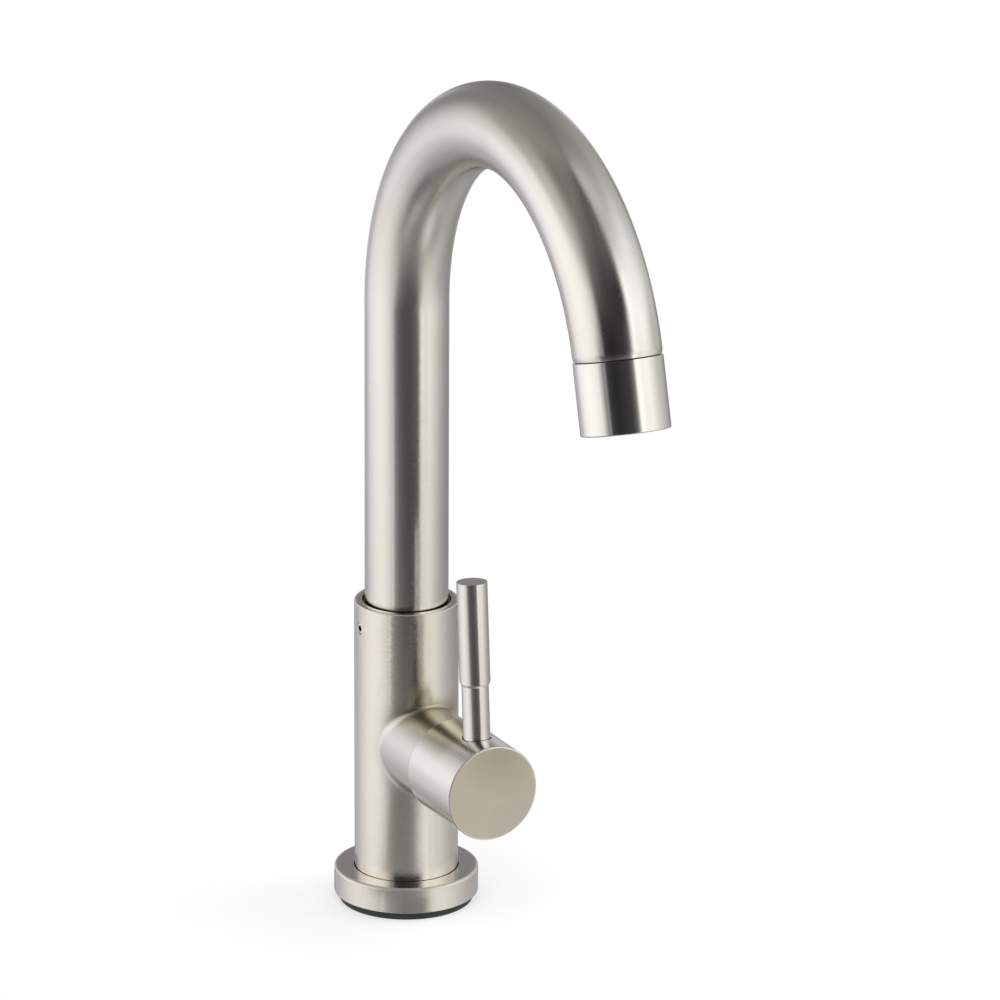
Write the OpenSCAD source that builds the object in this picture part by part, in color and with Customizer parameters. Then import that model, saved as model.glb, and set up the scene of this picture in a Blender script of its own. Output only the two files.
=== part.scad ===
// Single-handle gooseneck basin mixer.
// Millimetres, +Z up, origin on the deck at the column's axis.
// The spout and the handle both point along -Y; the swivel screw is on the -X side.

/* [Base] */

// thickness of the deck gasket
gasket_h = 2.8; // [1.5:0.1:4]
// how far the gasket stays inside the cover ring's edge
gasket_inset = 1.8; // [0.5:0.1:3]
// width of gasket that the column stands on
gasket_lap = 3; // [2:0.1:4]
// radial width of the cover ring around the column
ring_band = 6.9; // [5:0.1:12]
// height of the cover ring
ring_h = 9; // [6:0.1:14]
// radius of the cover ring's upper edge
ring_edge = 0.9; // [0.3:0.1:2]

/* [Column] */

// outside diameter of the column
column_d = 35; // [34:0.1:40]
// height of the column above the gasket
column_h = 103.7; // [98:0.1:130]
// chamfer around the column's rim
rim_edge = 0.4; // [0.2:0.1:0.8]
// radial gap between the spout tube and its socket in the column
socket_gap = 1; // [0.6:0.1:1.4]
// thickness of metal between the cartridge's bore and the floor of the socket
socket_web = 2.5; // [2:0.1:6]

/* [Inlets and stud] */

// core diameter of a threaded inlet port
port_d = 9; // [8:0.1:9.4]
// depth of a threaded inlet port
port_depth = 12; // [8:0.5:16]
// distance of each inlet port from the middle plane
port_x = 6.5; // [6.3:0.1:7]
// distance of the inlet ports behind the column's axis
port_y = 4.5; // [4:0.1:5.5]
// bore of the channel above an inlet port
supply_d = 5.2; // [4:0.1:5.6]
// core diameter of the threaded stud hole
stud_d = 6.8; // [5:0.1:7]
// depth of the threaded stud hole
stud_depth = 18; // [10:0.5:22]
// distance of the stud hole in front of the column's axis
stud_y = 9.5; // [9:0.1:10]

/* [Side boss] */

// height of the boss and handle axis above the deck
handle_z = 58.5; // [54:0.1:62]
// wall of the boss outside the nut's thread
boss_wall = 1.3; // [1:0.1:2]
// distance from the column's axis to the boss's mouth
boss_reach = 33.4; // [32:0.1:36]
// radius of the blend between boss and column
blend_r = 4; // [2:0.1:5]
// distance from the column's axis to the cartridge's seat
seat_reach = 9; // [8.2:0.1:9.8]
// how far the mouth's thread runs in behind the nut
thread_runout = 2.6; // [2:0.1:4]

/* [Cartridge] */

// diameter of the cartridge
cartridge_d = 25; // [24:0.1:28]
// radial play of the cartridge in the boss
cartridge_play = 0.25; // [0.05:0.05:0.3]
// thickness of the cartridge's foot
foot_h = 7; // [6.4:0.1:7.6]
// thickness of the fixed ceramic disc
fixed_disc_h = 2.6; // [2:0.1:3]
// thickness of the moving ceramic disc
moving_disc_h = 2.4; // [2.2:0.1:2.8]
// diameter of the moving ceramic disc
moving_disc_d = 16; // [15:0.1:17]
// thickness of the slider behind the moving disc
slider_h = 4.2; // [4:0.1:4.8]
// bore of each inlet in the discs
inlet_d = 3.8; // [3:0.1:4]
// distance of each disc inlet from the middle plane
inlet_x = 5.4; // [5.3:0.1:5.6]
// height of the disc inlets above the boss axis
inlet_rise = 2.4; // [2.2:0.1:2.8]
// bore of the outlet in the discs
outlet_d = 5.2; // [4:0.1:5.4]
// distance of the disc outlet below the boss axis
outlet_drop = 4.2; // [4:0.1:4.4]
// bore of the cartridge's neck
neck_bore_d = 16.4; // [15.4:0.1:17.4]
// wall of the cartridge's neck
neck_wall = 1.4; // [1:0.1:1.8]
// length of the neck in front of the spindle's pivot
neck_lead = 3.4; // [2.6:0.1:4]
// running clearance of the carrier in the neck
carrier_play = 0.07; // [0.02:0.01:0.1]

/* [Spindle] */

// distance from the column's axis to the spindle's pivot
pivot_reach = 31.8; // [30:0.1:34]
// diameter of the spindle's ball end
ball_d = 4; // [3.6:0.1:4.2]
// diameter of the spindle's body
spindle_d = 7.2; // [6.6:0.1:7.4]
// width across the spindle's square head
square_w = 6.4; // [6:0.1:6.6]
// diameter of the pivot pin
pin_d = 2.4; // [2:0.1:2.6]
// running clearance of the pin in the spindle
pin_play = 0.06; // [0.02:0.01:0.1]

/* [Nut and dome] */

// how much wider the nut's thread is than the cartridge's bore, on the radius
thread_step = 0.6; // [0.4:0.05:1]
// thread play between nut and boss and between dome and nut
thread_play = 0.05; // [0.02:0.01:0.1]
// how much narrower the nut is in front of the boss, on the radius
nose_step = 0.45; // [0.3:0.05:0.8]
// length of the nut in front of the boss
nut_nose = 2.6; // [2:0.1:2.8]
// wall of the ball-shaped dome
dome_wall = 1.4; // [1:0.1:1.6]
// opening of the dome around the spindle
dome_mouth_d = 17.6; // [17:0.1:19]

/* [Handle] */

// radial gap between the dome and the cap's skirt
skirt_gap = 0.45; // [0.35:0.05:0.8]
// wall of the cap's thin skirt
skirt_wall = 0.95; // [0.8:0.05:1.4]
// length of the thin skirt
skirt_h = 6; // [4:0.1:7]
// wall of the cap in front of the skirt
cap_wall = 1.9; // [1.6:0.1:3]
// length of the handle cap
cap_h = 30; // [28:0.1:34]
// gap between the boss's mouth and the cap's rear rim
cap_gap = 0.6; // [0.4:0.1:1]
// thickness of the cap's flat face
face_h = 2.6; // [2:0.1:4]
// chamfer around the cap's flat face
face_edge = 0.5; // [0.2:0.1:1]
// diameter of the cap's inner hub
hub_d = 12.8; // [12:0.1:13.4]
// distance from the cap's flat face back to the lever
lever_set = 10.5; // [9.5:0.1:11.5]
// lean of the lever towards the column
lever_lean = 4.5; // [0:0.5:6]
// diameter of the lever's stem
stem_d = 9; // [8:0.1:9.6]
// distance from the handle axis to the grip's foot
grip_foot = 33.7; // [30:0.1:40]
// how much wider the grip is than the stem, on the radius
grip_step = 0.6; // [0.3:0.1:1.5]
// length of the grip
grip_h = 35; // [30:0.1:60]
// chamfer at the grip's foot
grip_edge = 1.3; // [0.6:0.1:2]
// chamfer around the grip's flat top
grip_top_edge = 0.3; // [0.1:0.1:0.8]

/* [Spout] */

// outside diameter of the spout tube
tube_d = 28; // [26:0.1:29]
// wall of the spout tube
tube_wall = 0.8; // [0.7:0.1:1.5]
// how far the tube dips into the column
tube_dip = 4; // [3:0.1:4.2]
// height of the spout's straight part above the deck
riser_top = 210; // [190:1:240]
// radius of the bend along the tube's middle line
bend_r = 74.5; // [65:0.5:85]
// angle of the bend
bend_angle = 165; // [150:1:170]
// running clearance of the spout's foot in the socket
swivel_play = 0.07; // [0.02:0.01:0.1]
// bore of the bush in the spout's foot
bush_bore_d = 12; // [10:0.5:18]

/* [Outlet] */

// how much wider the aerator collar is than the tube, on the radius
collar_step = 0.1; // [0.05:0.05:0.5]
// distance from the tube's end to the collar's lower edge
collar_h = 23; // [21:0.5:26]
// gap of the seam between tube and collar
seam_h = 0.35; // [0.2:0.05:0.6]
// how much narrower the outlet thread is than the tube's bore, on the radius
outlet_step = 1.25; // [0.9:0.05:1.6]
// chamfer around the collar's lower edge
collar_edge = 0.5; // [0.2:0.1:1]

/* [Hidden] */

$fn = 96;
// small overshoot that keeps cuts clean
eps = 0.01;

column_r = column_d / 2;
column_foot = gasket_h;
rim_z = column_foot + column_h;
boss_bore_r = cartridge_d / 2 + cartridge_play;
socket_r = tube_d / 2 + socket_gap;
socket_floor = handle_z + boss_bore_r + socket_web;
socket_rim_edge = min(rim_edge, (column_r - socket_r) / 3);
washer_h = 1;
ring_d = column_d + 2 * ring_band;
ring_play = 0.15;
ring_bore_d = column_d + 2 * ring_play;
gasket_d = ring_d - 2 * gasket_inset;
gasket_bore_d = column_d - 2 * gasket_lap;

nut_r = boss_bore_r + thread_step;
nose_r = nut_r - nose_step;
mouth_thread_r = nut_r + thread_play;
boss_r = mouth_thread_r + boss_wall;
// the dome's ball is centred on the pivot and passes through the boss's edge
dome_r = sqrt(boss_r ^ 2 + (boss_reach - pivot_reach) ^ 2);

// positions along the boss, counted from the column's axis
seal_reach = seat_reach;
foot_gap = 0.2;
foot_reach = seat_reach + foot_gap;
fixed_disc_reach = foot_reach + foot_h;
moving_disc_reach = fixed_disc_reach + fixed_disc_h;
slider_reach = moving_disc_reach + moving_disc_h;
carrier_gap = 0.3;
carrier_reach = slider_reach + slider_h + carrier_gap;
flange_h = 1.8;
plate_reach = carrier_reach + flange_h + 0.1;
plate_h = 1;
shoulder_reach = plate_reach + plate_h;
neck_reach = pivot_reach + neck_lead;
neck_d = neck_bore_d + 2 * neck_wall;
ball_reach = slider_reach + slider_h / 2 + carrier_gap;
ball_arm = pivot_reach - ball_reach;
housing_wall = 1.1;
housing_bore_r = cartridge_d / 2 - housing_wall;
cap_reach = boss_reach + cap_gap;
cap_front = cap_reach + cap_h;
lever_reach = cap_front - lever_set;
skirt_r = dome_r + skirt_gap;
cap_r = skirt_r + skirt_wall;
spindle_back = 3.2;
spindle_lead = 5;
square_reach = pivot_reach + spindle_lead - 0.8;
square_gap = 3.2;
square_tip = cap_front - face_h - square_gap;
hub_gap = 0.7;
hub_reach = pivot_reach + dome_r + hub_gap;
socket_w = square_w + 0.1;
slot_w = spindle_d + 0.7;
slot_rise = 5.1;
slot_drop = 5.5;

// pegs that keep the cartridge from turning on its seat
peg_d = 2.4;
peg_inset = 3.1;
peg_x = cartridge_d / 2 - peg_inset;
peg_drop = 2.5;
peg_h = 1.6;

// slider, its two studs on the moving disc, and the carrier's guides
slider_w = 14;
slider_stud_d = 2;
slider_stud_x = 5.6;
guide_gap = 0.1;
guide_w = 2.1;
guide_h = 11.2;

// positions along the lever, counted from the handle axis
recess_depth = 3.6;
stem_foot = cap_r - recess_depth;
grip_d = stem_d + 2 * grip_step;
spigot_d = 5.8;
grip_top = grip_foot + grip_h;
recess_d = stem_d + 1;

// screws
swivel_screw_d = 4;
swivel_screw_drop = 8;
swivel_screw_z = rim_z - swivel_screw_drop;
dog_d = 2.5;
dog_reach = 1.5;
cap_screw_d = 5;

// spout foot
tube_r = tube_d / 2;
tube_bore_r = tube_r - tube_wall;
tube_foot = rim_z - tube_dip;
bush_r = socket_r - swivel_play;
bush_foot = socket_floor + washer_h;
spigot_r = tube_bore_r - 0.05;
groove_r = bush_r - 1.8;
groove_w = dog_d + 0.7;
seal_r = 0.95;
seal_ring_r = bush_r - seal_r;
slip_h = 2.4;
slip_lift = 1.2;
slip_gap = 0.6;
slip_low = bush_foot + slip_lift;
slip_high = swivel_screw_z - groove_w / 2 - slip_gap - slip_h;
slip_heights = [slip_low, slip_high];
seal_room = slip_high - slip_low - slip_h;
seal_heights = [slip_low + slip_h + seal_room / 4, slip_high - seal_room / 4];

// outlet, counted from the tube's end
collar_r = tube_r + collar_step;
outlet_thread_r = tube_bore_r - outlet_step;
insert_h = 8;
insert_root = 6;
insert_wall = 1.5;
collar_play = 0.1;
washer_reach = insert_h;
cage_reach = washer_reach + 1.6;
lip_h = 1.5;
lip_reach = collar_h - lip_h;
cage_r = outlet_thread_r - 0.45;
screen_r = cage_r - 1.3;
screen_reach = cage_reach + 5;

column_colour = [0.72, 0.70, 0.66];
spout_colour = [0.74, 0.72, 0.68];
brass_colour = [0.80, 0.66, 0.36];
rubber_colour = [0.10, 0.10, 0.10];
gasket_colour = [0.10, 0.17, 0.13];
plastic_colour = [0.86, 0.86, 0.84];
carrier_colour = [0.30, 0.32, 0.36];
ceramic_colour = [0.93, 0.93, 0.90];
screw_colour = [0.55, 0.55, 0.56];

// frames

// +Z runs out along the side boss and +Y stays up
module along_boss() {
  translate([0, 0, handle_z])
    rotate([90, 0, 0])
      children();
}

// +Z runs up the lever, from the handle axis
module along_lever() {
  along_boss()
    translate([0, 0, lever_reach])
      rotate([-90 - lever_lean, 0, 0])
        children();
}

// +Z runs down out of the cap's underside, from the handle axis
module along_cap_screw() {
  along_boss()
    translate([0, 0, lever_reach])
      rotate([90, 0, 0])
        children();
}

// +Z runs out of the tube's end, in the direction of the water
module at_outlet() {
  translate([0, bend_r * (cos(bend_angle) - 1), riser_top + bend_r * sin(bend_angle)])
    rotate([bend_angle, 0, 0])
      children();
}

// shared shapes

// a ring standing on z = 0
module ring(outer_r, inner_r, height) {
  difference() {
    cylinder(h = height, r = outer_r);
    translate([0, 0, -1])
      cylinder(h = height + 2, r = inner_r);
  }
}

// a round bar standing on z = 0 with chamfered ends
module bar(radius, height, low_edge, high_edge) {
  cylinder(h = low_edge, r1 = radius - low_edge, r2 = radius);
  translate([0, 0, low_edge])
    cylinder(h = height - low_edge - high_edge, r = radius);
  translate([0, 0, height - high_edge])
    cylinder(h = high_edge, r1 = radius, r2 = radius - high_edge);
}

// an O-ring lying around the z axis
module o_ring(ring_r, section_r) {
  rotate_extrude()
    translate([ring_r, 0])
      circle(r = section_r);
}

// a six-sided key hole, cut down from z = 0
module key_hole(across_flats, depth) {
  translate([0, 0, -depth])
    cylinder(h = depth + 1, d = across_flats / cos(30), $fn = 6);
}

// base

module deck_gasket() {
  color(gasket_colour)
    ring(gasket_d / 2, gasket_bore_d / 2, gasket_h);
}

module cover_ring() {
  color(column_colour)
    translate([0, 0, gasket_h])
      difference() {
        rotate_extrude()
          union() {
            square([ring_d / 2, ring_h - ring_edge]);
            square([ring_d / 2 - ring_edge, ring_h]);
            translate([ring_d / 2 - ring_edge, ring_h - ring_edge])
              circle(r = ring_edge);
          }
        translate([0, 0, -1])
          cylinder(h = ring_h + 2, d = ring_bore_d);
        translate([0, 0, ring_h / 2 - 0.6])
          cylinder(h = 1.2, d = ring_bore_d + 1.9);
      }
}

module ring_seal() {
  color(rubber_colour)
    translate([0, 0, gasket_h + ring_h / 2])
      o_ring(column_r + 0.55, 0.5);
}

// column

// Middle of the ball that rolls around the corner between boss and column,
// in the boss's frame, where it touches the boss at angle a from the top.
function ball_middle(a) =
  let (side = (boss_r + blend_r) * sin(a))
  [side, (boss_r + blend_r) * cos(a), sqrt((column_r + blend_r) ^ 2 - side ^ 2)];

// Point of the blend at angle a, from the boss (s = 0) to the column (s = 1).
// Both ends dip a little under the two surfaces that the blend joins.
function blend_point(a, s) =
  let (
    middle = ball_middle(a),
    to_boss = [-sin(a), -cos(a), 0],
    to_column = -[middle[0], 0, middle[2]] / (column_r + blend_r),
    sweep = acos(to_boss * to_column),
    away = (sin((1 - s) * sweep) * to_boss + sin(s * sweep) * to_column) / sin(sweep),
    reach = (s == 0 || s == 1) ? blend_r + blend_dip : blend_r
  )
  middle + reach * away;

// Point inside both the boss and the column, behind the blend at angle a.
function blend_core(a) =
  let (core_r = boss_r - 1.4)
  [core_r * sin(a), core_r * cos(a), sqrt(column_r ^ 2 - (core_r * sin(a)) ^ 2) - 2];

blend_dip = 0.06;
blend_turns = 48;
blend_steps = 6;

// The ground weld between boss and column: the surface that a ball of one
// radius leaves as it rolls round the saddle-shaped corner.
module weld_blend() {
  row = blend_steps + 2;
  points = [
    for (i = [0 : blend_turns - 1])
      for (j = [0 : row - 1])
        j <= blend_steps
          ? blend_point(360 * i / blend_turns, j / blend_steps)
          : blend_core(360 * i / blend_turns)
  ];
  faces = [
    for (i = [0 : blend_turns - 1])
      for (j = [0 : row - 1])
        for (half = [0, 1])
          let (
            here = i * row,
            next = ((i + 1) % blend_turns) * row,
            k = (j + 1) % row
          )
          half == 0
            ? [here + j, here + k, next + k]
            : [here + j, next + k, next + j]
  ];
  polyhedron(points = points, faces = faces, convexity = 8);
}

module column_outside() {
  translate([0, 0, column_foot])
    bar(column_r, column_h, eps, rim_edge);
  along_boss()
    cylinder(h = boss_reach, r = boss_r);
  along_boss()
    weld_blend();
}

// water from the two ports up to the cartridge, and from it to the socket
module column_channels() {
  for (side = [-1, 1]) {
    translate([side * port_x, port_y, column_foot - 1])
      cylinder(h = port_depth + 1, d = port_d);
    translate([side * port_x, port_y, column_foot + port_depth - eps])
      cylinder(h = handle_z + inlet_rise - column_foot - port_depth, d = supply_d);
    along_boss()
      translate([side * inlet_x, inlet_rise, -port_y])
        cylinder(h = seat_reach + port_y + 1, d = inlet_d);
    along_boss()
      translate([side * peg_x, -peg_drop, foot_reach - peg_h - 0.2])
        cylinder(h = 3, d = peg_d + 0.2);
  }
  along_boss()
    translate([0, -outlet_drop, 0])
      cylinder(h = seat_reach + 1, d = outlet_d);
  translate([0, 0, handle_z - outlet_drop - outlet_d / 2])
    cylinder(h = socket_floor - handle_z + outlet_drop + outlet_d / 2 + 1, d = outlet_d);
}

module column() {
  color(column_colour)
    difference() {
      column_outside();
      translate([0, 0, socket_floor])
        cylinder(h = rim_z - socket_floor + 1, r = socket_r);
      translate([0, 0, rim_z - socket_rim_edge])
        cylinder(h = socket_rim_edge + eps, r1 = socket_r, r2 = socket_r + socket_rim_edge);
      along_boss() {
        translate([0, 0, seat_reach])
          cylinder(h = boss_reach, r = boss_bore_r);
        translate([0, 0, shoulder_reach - thread_runout])
          cylinder(h = boss_reach - shoulder_reach + thread_runout + 1, r = mouth_thread_r);
      }
      column_channels();
      translate([0, -stud_y, column_foot - 1])
        cylinder(h = stud_depth + 1, d = stud_d);
      translate([0, 0, swivel_screw_z])
        rotate([0, -90, 0])
          cylinder(h = column_r + 1, d = swivel_screw_d + 0.1);
    }
}

module swivel_screw() {
  thread_start = dog_reach + 0.2;
  thread_h = column_r - 0.3 - socket_r - 0.2;
  edge = min(0.2, thread_h / 4);
  color(screw_colour)
    translate([-(socket_r - dog_reach), 0, swivel_screw_z])
      rotate([0, -90, 0])
        difference() {
          union() {
            cylinder(h = thread_start + edge, d = dog_d);
            translate([0, 0, thread_start])
              bar(swivel_screw_d / 2, thread_h, edge, edge);
          }
          translate([0, 0, thread_start + thread_h])
            key_hole(2, 1.4);
        }
}

module thrust_washer() {
  color(plastic_colour)
    translate([0, 0, socket_floor])
      ring(socket_r - 0.3, outlet_d / 2 + 4, washer_h);
}

// cartridge

// the three ways through the cartridge, in the boss's frame
module port_places() {
  for (side = [-1, 1])
    translate([side * inlet_x, inlet_rise, 0])
      children(0);
  translate([0, -outlet_drop, 0])
    children(1);
}

module disc_ports(from, to) {
  port_places() {
    translate([0, 0, from - 1])
      cylinder(h = to - from + 2, d = inlet_d);
    translate([0, 0, from - 1])
      cylinder(h = to - from + 2, d = outlet_d);
  }
}

module cartridge_seals() {
  color(rubber_colour)
    along_boss()
      translate([0, 0, seal_reach])
        port_places() {
          ring(inlet_d / 2 + 1.2, inlet_d / 2 + 0.2, 1.2);
          ring(outlet_d / 2 + 1.2, outlet_d / 2 + 0.2, 1.2);
        }
}

module cartridge_base() {
  color(plastic_colour)
    along_boss()
      difference() {
        union() {
          translate([0, 0, foot_reach])
            bar(cartridge_d / 2, foot_h, 0.4, eps);
          for (side = [-1, 1])
            translate([side * peg_x, -peg_drop, foot_reach - peg_h])
              cylinder(h = peg_h + 0.4, d = peg_d);
        }
        disc_ports(foot_reach, foot_reach + foot_h);
        translate([0, 0, foot_reach - 1])
          port_places() {
            cylinder(h = 2, d = inlet_d + 2.6);
            cylinder(h = 2, d = outlet_d + 2.6);
          }
      }
}

module fixed_disc() {
  color(ceramic_colour)
    along_boss()
      difference() {
        translate([0, 0, fixed_disc_reach])
          cylinder(h = fixed_disc_h, r = housing_bore_r - 0.4);
        disc_ports(fixed_disc_reach, fixed_disc_reach + fixed_disc_h);
      }
}

module moving_disc() {
  color(ceramic_colour)
    along_boss()
      translate([0, 0, moving_disc_reach])
        difference() {
          cylinder(h = moving_disc_h, d = moving_disc_d);
          translate([0, -2.9, -1])
            mixing_pocket(2.2);
          for (side = [-1, 1])
            translate([side * slider_stud_x, 0, moving_disc_h - 1.1])
              cylinder(h = 2, d = slider_stud_d + 0.1);
        }
}

// the hollow in the moving disc that joins the inlets to the outlet
module mixing_pocket(height) {
  for (side = [-1, 1])
    translate([side * 3, 0, 0])
      cylinder(h = height, r = 2.8);
  translate([-3, -2.8, 0])
    cube([6, 5.6, height]);
}

module disc_slider() {
  color(carrier_colour)
    along_boss()
      translate([0, 0, slider_reach])
        difference() {
          union() {
            intersection() {
              cylinder(h = slider_h, d = moving_disc_d - 0.4);
              translate([-slider_w / 2, -moving_disc_d, 0])
                cube([slider_w, 2 * moving_disc_d, slider_h]);
            }
            for (side = [-1, 1])
              translate([side * slider_stud_x, 0, -1])
                cylinder(h = 2, d = slider_stud_d);
          }
          translate([-ball_d / 2 - 0.35, -ball_d / 2 - 0.35, -2])
            cube([ball_d + 0.7, ball_d + 0.7, slider_h + 4]);
        }
}

module cartridge_housing() {
  color(plastic_colour)
    along_boss()
      difference() {
        union() {
          translate([0, 0, fixed_disc_reach])
            cylinder(h = shoulder_reach - fixed_disc_reach, d = cartridge_d);
          translate([0, 0, fixed_disc_reach])
            cylinder(h = neck_reach - fixed_disc_reach, d = neck_d);
        }
        translate([0, 0, fixed_disc_reach - 1])
          cylinder(h = plate_reach - fixed_disc_reach + 1, r = housing_bore_r);
        translate([0, 0, fixed_disc_reach])
          cylinder(h = neck_reach, d = neck_bore_d);
      }
}

module spindle_carrier() {
  color(carrier_colour)
    along_boss()
      difference() {
        union() {
          translate([0, 0, carrier_reach])
            cylinder(h = flange_h, r = housing_bore_r - 0.5);
          translate([0, 0, carrier_reach])
            cylinder(h = neck_reach - carrier_reach - 0.2, r = neck_bore_d / 2 - carrier_play);
          intersection() {
            translate([0, 0, slider_reach])
              cylinder(h = carrier_reach - slider_reach + flange_h / 2, r = housing_bore_r - 0.5);
            for (side = [0, 1])
              mirror([side, 0, 0])
                translate([slider_w / 2 + guide_gap, -guide_h / 2, slider_reach + 0.6])
                  cube([guide_w, guide_h, slider_h]);
          }
        }
        translate([-slot_w / 2, -slot_drop, carrier_reach - 1])
          cube([slot_w, slot_drop + slot_rise, neck_reach - carrier_reach + 2]);
        translate([0, 0, pivot_reach])
          rotate([0, 90, 0])
            cylinder(h = 2 * neck_bore_d, d = pin_d + 0.02, center = true);
      }
}

module pivot_pin() {
  color(screw_colour)
    along_boss()
      translate([0, 0, pivot_reach])
        rotate([0, 90, 0])
          cylinder(h = neck_bore_d - 1, d = pin_d, center = true);
}

module spindle() {
  color(brass_colour)
    along_boss()
      difference() {
        union() {
          translate([0, 0, ball_reach])
            sphere(d = ball_d);
          translate([0, 0, ball_reach])
            cylinder(h = ball_arm, d = ball_d - 1);
          translate([0, 0, pivot_reach - spindle_back])
            bar(spindle_d / 2, spindle_back + spindle_lead, 0.5, 0.5);
          translate([-square_w / 2, -square_w / 2, square_reach])
            cube([square_w, square_w, square_tip - square_reach]);
        }
        translate([0, 0, pivot_reach])
          rotate([0, 90, 0])
            cylinder(h = 2 * neck_bore_d, d = pin_d + 2 * pin_play, center = true);
      }
}

module cartridge_nut() {
  color(brass_colour)
    along_boss()
      difference() {
        union() {
          translate([0, 0, shoulder_reach])
            cylinder(h = boss_reach - shoulder_reach, r = nut_r);
          translate([0, 0, boss_reach - eps])
            cylinder(h = nut_nose + eps, r = nose_r);
        }
        translate([0, 0, shoulder_reach - 1])
          cylinder(h = boss_reach - shoulder_reach + nut_nose + 2, d = neck_d + 0.2);
        translate([-1.5, -nut_r - 1, boss_reach + nut_nose - 1.4])
          cube([3, 2 * nut_r + 2, 3]);
      }
}

// A thin ball-shaped shell around the pivot, so the cap tilts over it at one
// and the same distance.
module dome_cover() {
  color(column_colour)
    along_boss()
      difference() {
        intersection() {
          translate([0, 0, pivot_reach])
            sphere(r = dome_r);
          translate([0, 0, boss_reach])
            cylinder(h = dome_r * 2, r = dome_r + 1);
        }
        translate([0, 0, pivot_reach])
          intersection() {
            sphere(r = dome_r - dome_wall);
            cylinder(h = 4 * dome_r, r = nose_r + thread_play, center = true);
          }
        translate([0, 0, boss_reach - 1])
          cylinder(h = nut_nose + 1.2, r = nose_r + thread_play);
        translate([0, 0, boss_reach])
          cylinder(h = 2 * dome_r, d = dome_mouth_d);
      }
}

// handle

module cap_outside() {
  along_boss()
    translate([0, 0, cap_reach])
      bar(cap_r, cap_h, 0.3, face_edge);
}

// the skirt and the hollow in front of it, with the hub left standing
module cap_hollow() {
  along_boss()
    translate([0, 0, cap_reach - 1])
      cylinder(h = skirt_h + 1, r = skirt_r);
  difference() {
    along_boss()
      translate([0, 0, cap_reach - 1])
        cylinder(h = cap_h + 1 - face_h, r = cap_r - cap_wall);
    along_boss()
      translate([0, 0, hub_reach])
        cylinder(h = cap_h, d = hub_d);
    intersection() {
      union() {
        along_lever()
          cylinder(h = 2 * cap_r, r = recess_d / 2 + 1.2);
        along_cap_screw()
          cylinder(h = 2 * cap_r, r = cap_screw_d / 2 + 2);
      }
      along_boss()
        translate([0, 0, hub_reach])
          cylinder(h = cap_h, r = cap_r + 1);
    }
  }
}

module handle_cap() {
  color(column_colour)
    difference() {
      cap_outside();
      cap_hollow();
      along_boss()
        translate([-socket_w / 2, -socket_w / 2, hub_reach - 1])
          cube([socket_w, socket_w, square_tip - hub_reach + 1.3]);
      along_lever() {
        cylinder(h = 2 * cap_r, d = spigot_d + 0.1);
        translate([0, 0, stem_foot - 0.1])
          cylinder(h = 2 * cap_r, d = recess_d);
      }
      along_cap_screw()
        cylinder(h = 2 * cap_r, d = cap_screw_d + 0.1);
    }
}

module cap_screw() {
  color(screw_colour)
    along_cap_screw()
      translate([0, 0, square_w / 2 + 0.02])
        difference() {
          bar(cap_screw_d / 2, 9, 0.6, 0.3);
          translate([0, 0, 9])
            key_hole(2.5, 3);
        }
}

module lever_stem() {
  color(column_colour)
    along_lever() {
      translate([0, 0, square_w / 2 + 0.6])
        cylinder(h = stem_foot - square_w / 2, d = spigot_d);
      translate([0, 0, stem_foot])
        cylinder(h = grip_foot - stem_foot, d = stem_d);
      translate([0, 0, grip_foot - 1])
        cylinder(h = grip_h - 7, d = spigot_d);
    }
}

module lever_grip() {
  color(column_colour)
    along_lever()
      translate([0, 0, grip_foot])
        difference() {
          union() {
            cylinder(h = grip_edge, d1 = stem_d + 0.1, d2 = grip_d);
            translate([0, 0, grip_edge])
              bar(grip_d / 2, grip_h - grip_edge, eps, grip_top_edge);
          }
          translate([0, 0, -1])
            cylinder(h = grip_h - 6.5, d = spigot_d + 0.1);
        }
}

// spout

// the bent part of a bar of the spout's shape
module bend(radius) {
  translate([0, -bend_r, riser_top])
    rotate([90, 0, 90])
      rotate_extrude(angle = bend_angle)
        translate([bend_r, 0])
          circle(r = radius);
}

module spout_tube() {
  color(spout_colour) {
    difference() {
      translate([0, 0, tube_foot])
        cylinder(h = riser_top - tube_foot, r = tube_r);
      translate([0, 0, tube_foot - 1])
        cylinder(h = riser_top - tube_foot + 2, r = tube_bore_r);
    }
    difference() {
      bend(tube_r);
      bend(tube_bore_r);
    }
  }
}

module spout_bush() {
  color(brass_colour)
    difference() {
      union() {
        translate([0, 0, bush_foot])
          bar(bush_r, tube_foot - bush_foot, 0.5, 0.3);
        translate([0, 0, tube_foot - 1])
          bar(spigot_r, 10, 0.3, 0.8);
      }
      translate([0, 0, bush_foot - 1])
        cylinder(h = rim_z, d = bush_bore_d);
      translate([0, 0, swivel_screw_z - groove_w / 2])
        ring(bush_r + 1, groove_r, groove_w);
      for (z = seal_heights)
        translate([0, 0, z - seal_r - 0.25])
          ring(bush_r + 1, seal_ring_r - seal_r - 0.05, 2 * seal_r + 0.5);
      for (z = slip_heights)
        translate([0, 0, z - 0.05])
          ring(bush_r + 1, bush_r - 1.4, slip_h + 0.1);
    }
}

module spout_seals() {
  color(rubber_colour)
    for (z = seal_heights)
      translate([0, 0, z])
        o_ring(seal_ring_r, seal_r);
}

module slip_rings() {
  color(plastic_colour)
    for (z = slip_heights)
      translate([0, 0, z])
        difference() {
          ring(bush_r, bush_r - 1.3, slip_h);
          translate([0, -0.5, -1])
            cube([bush_r + 1, 1, slip_h + 2]);
        }
}

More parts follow.
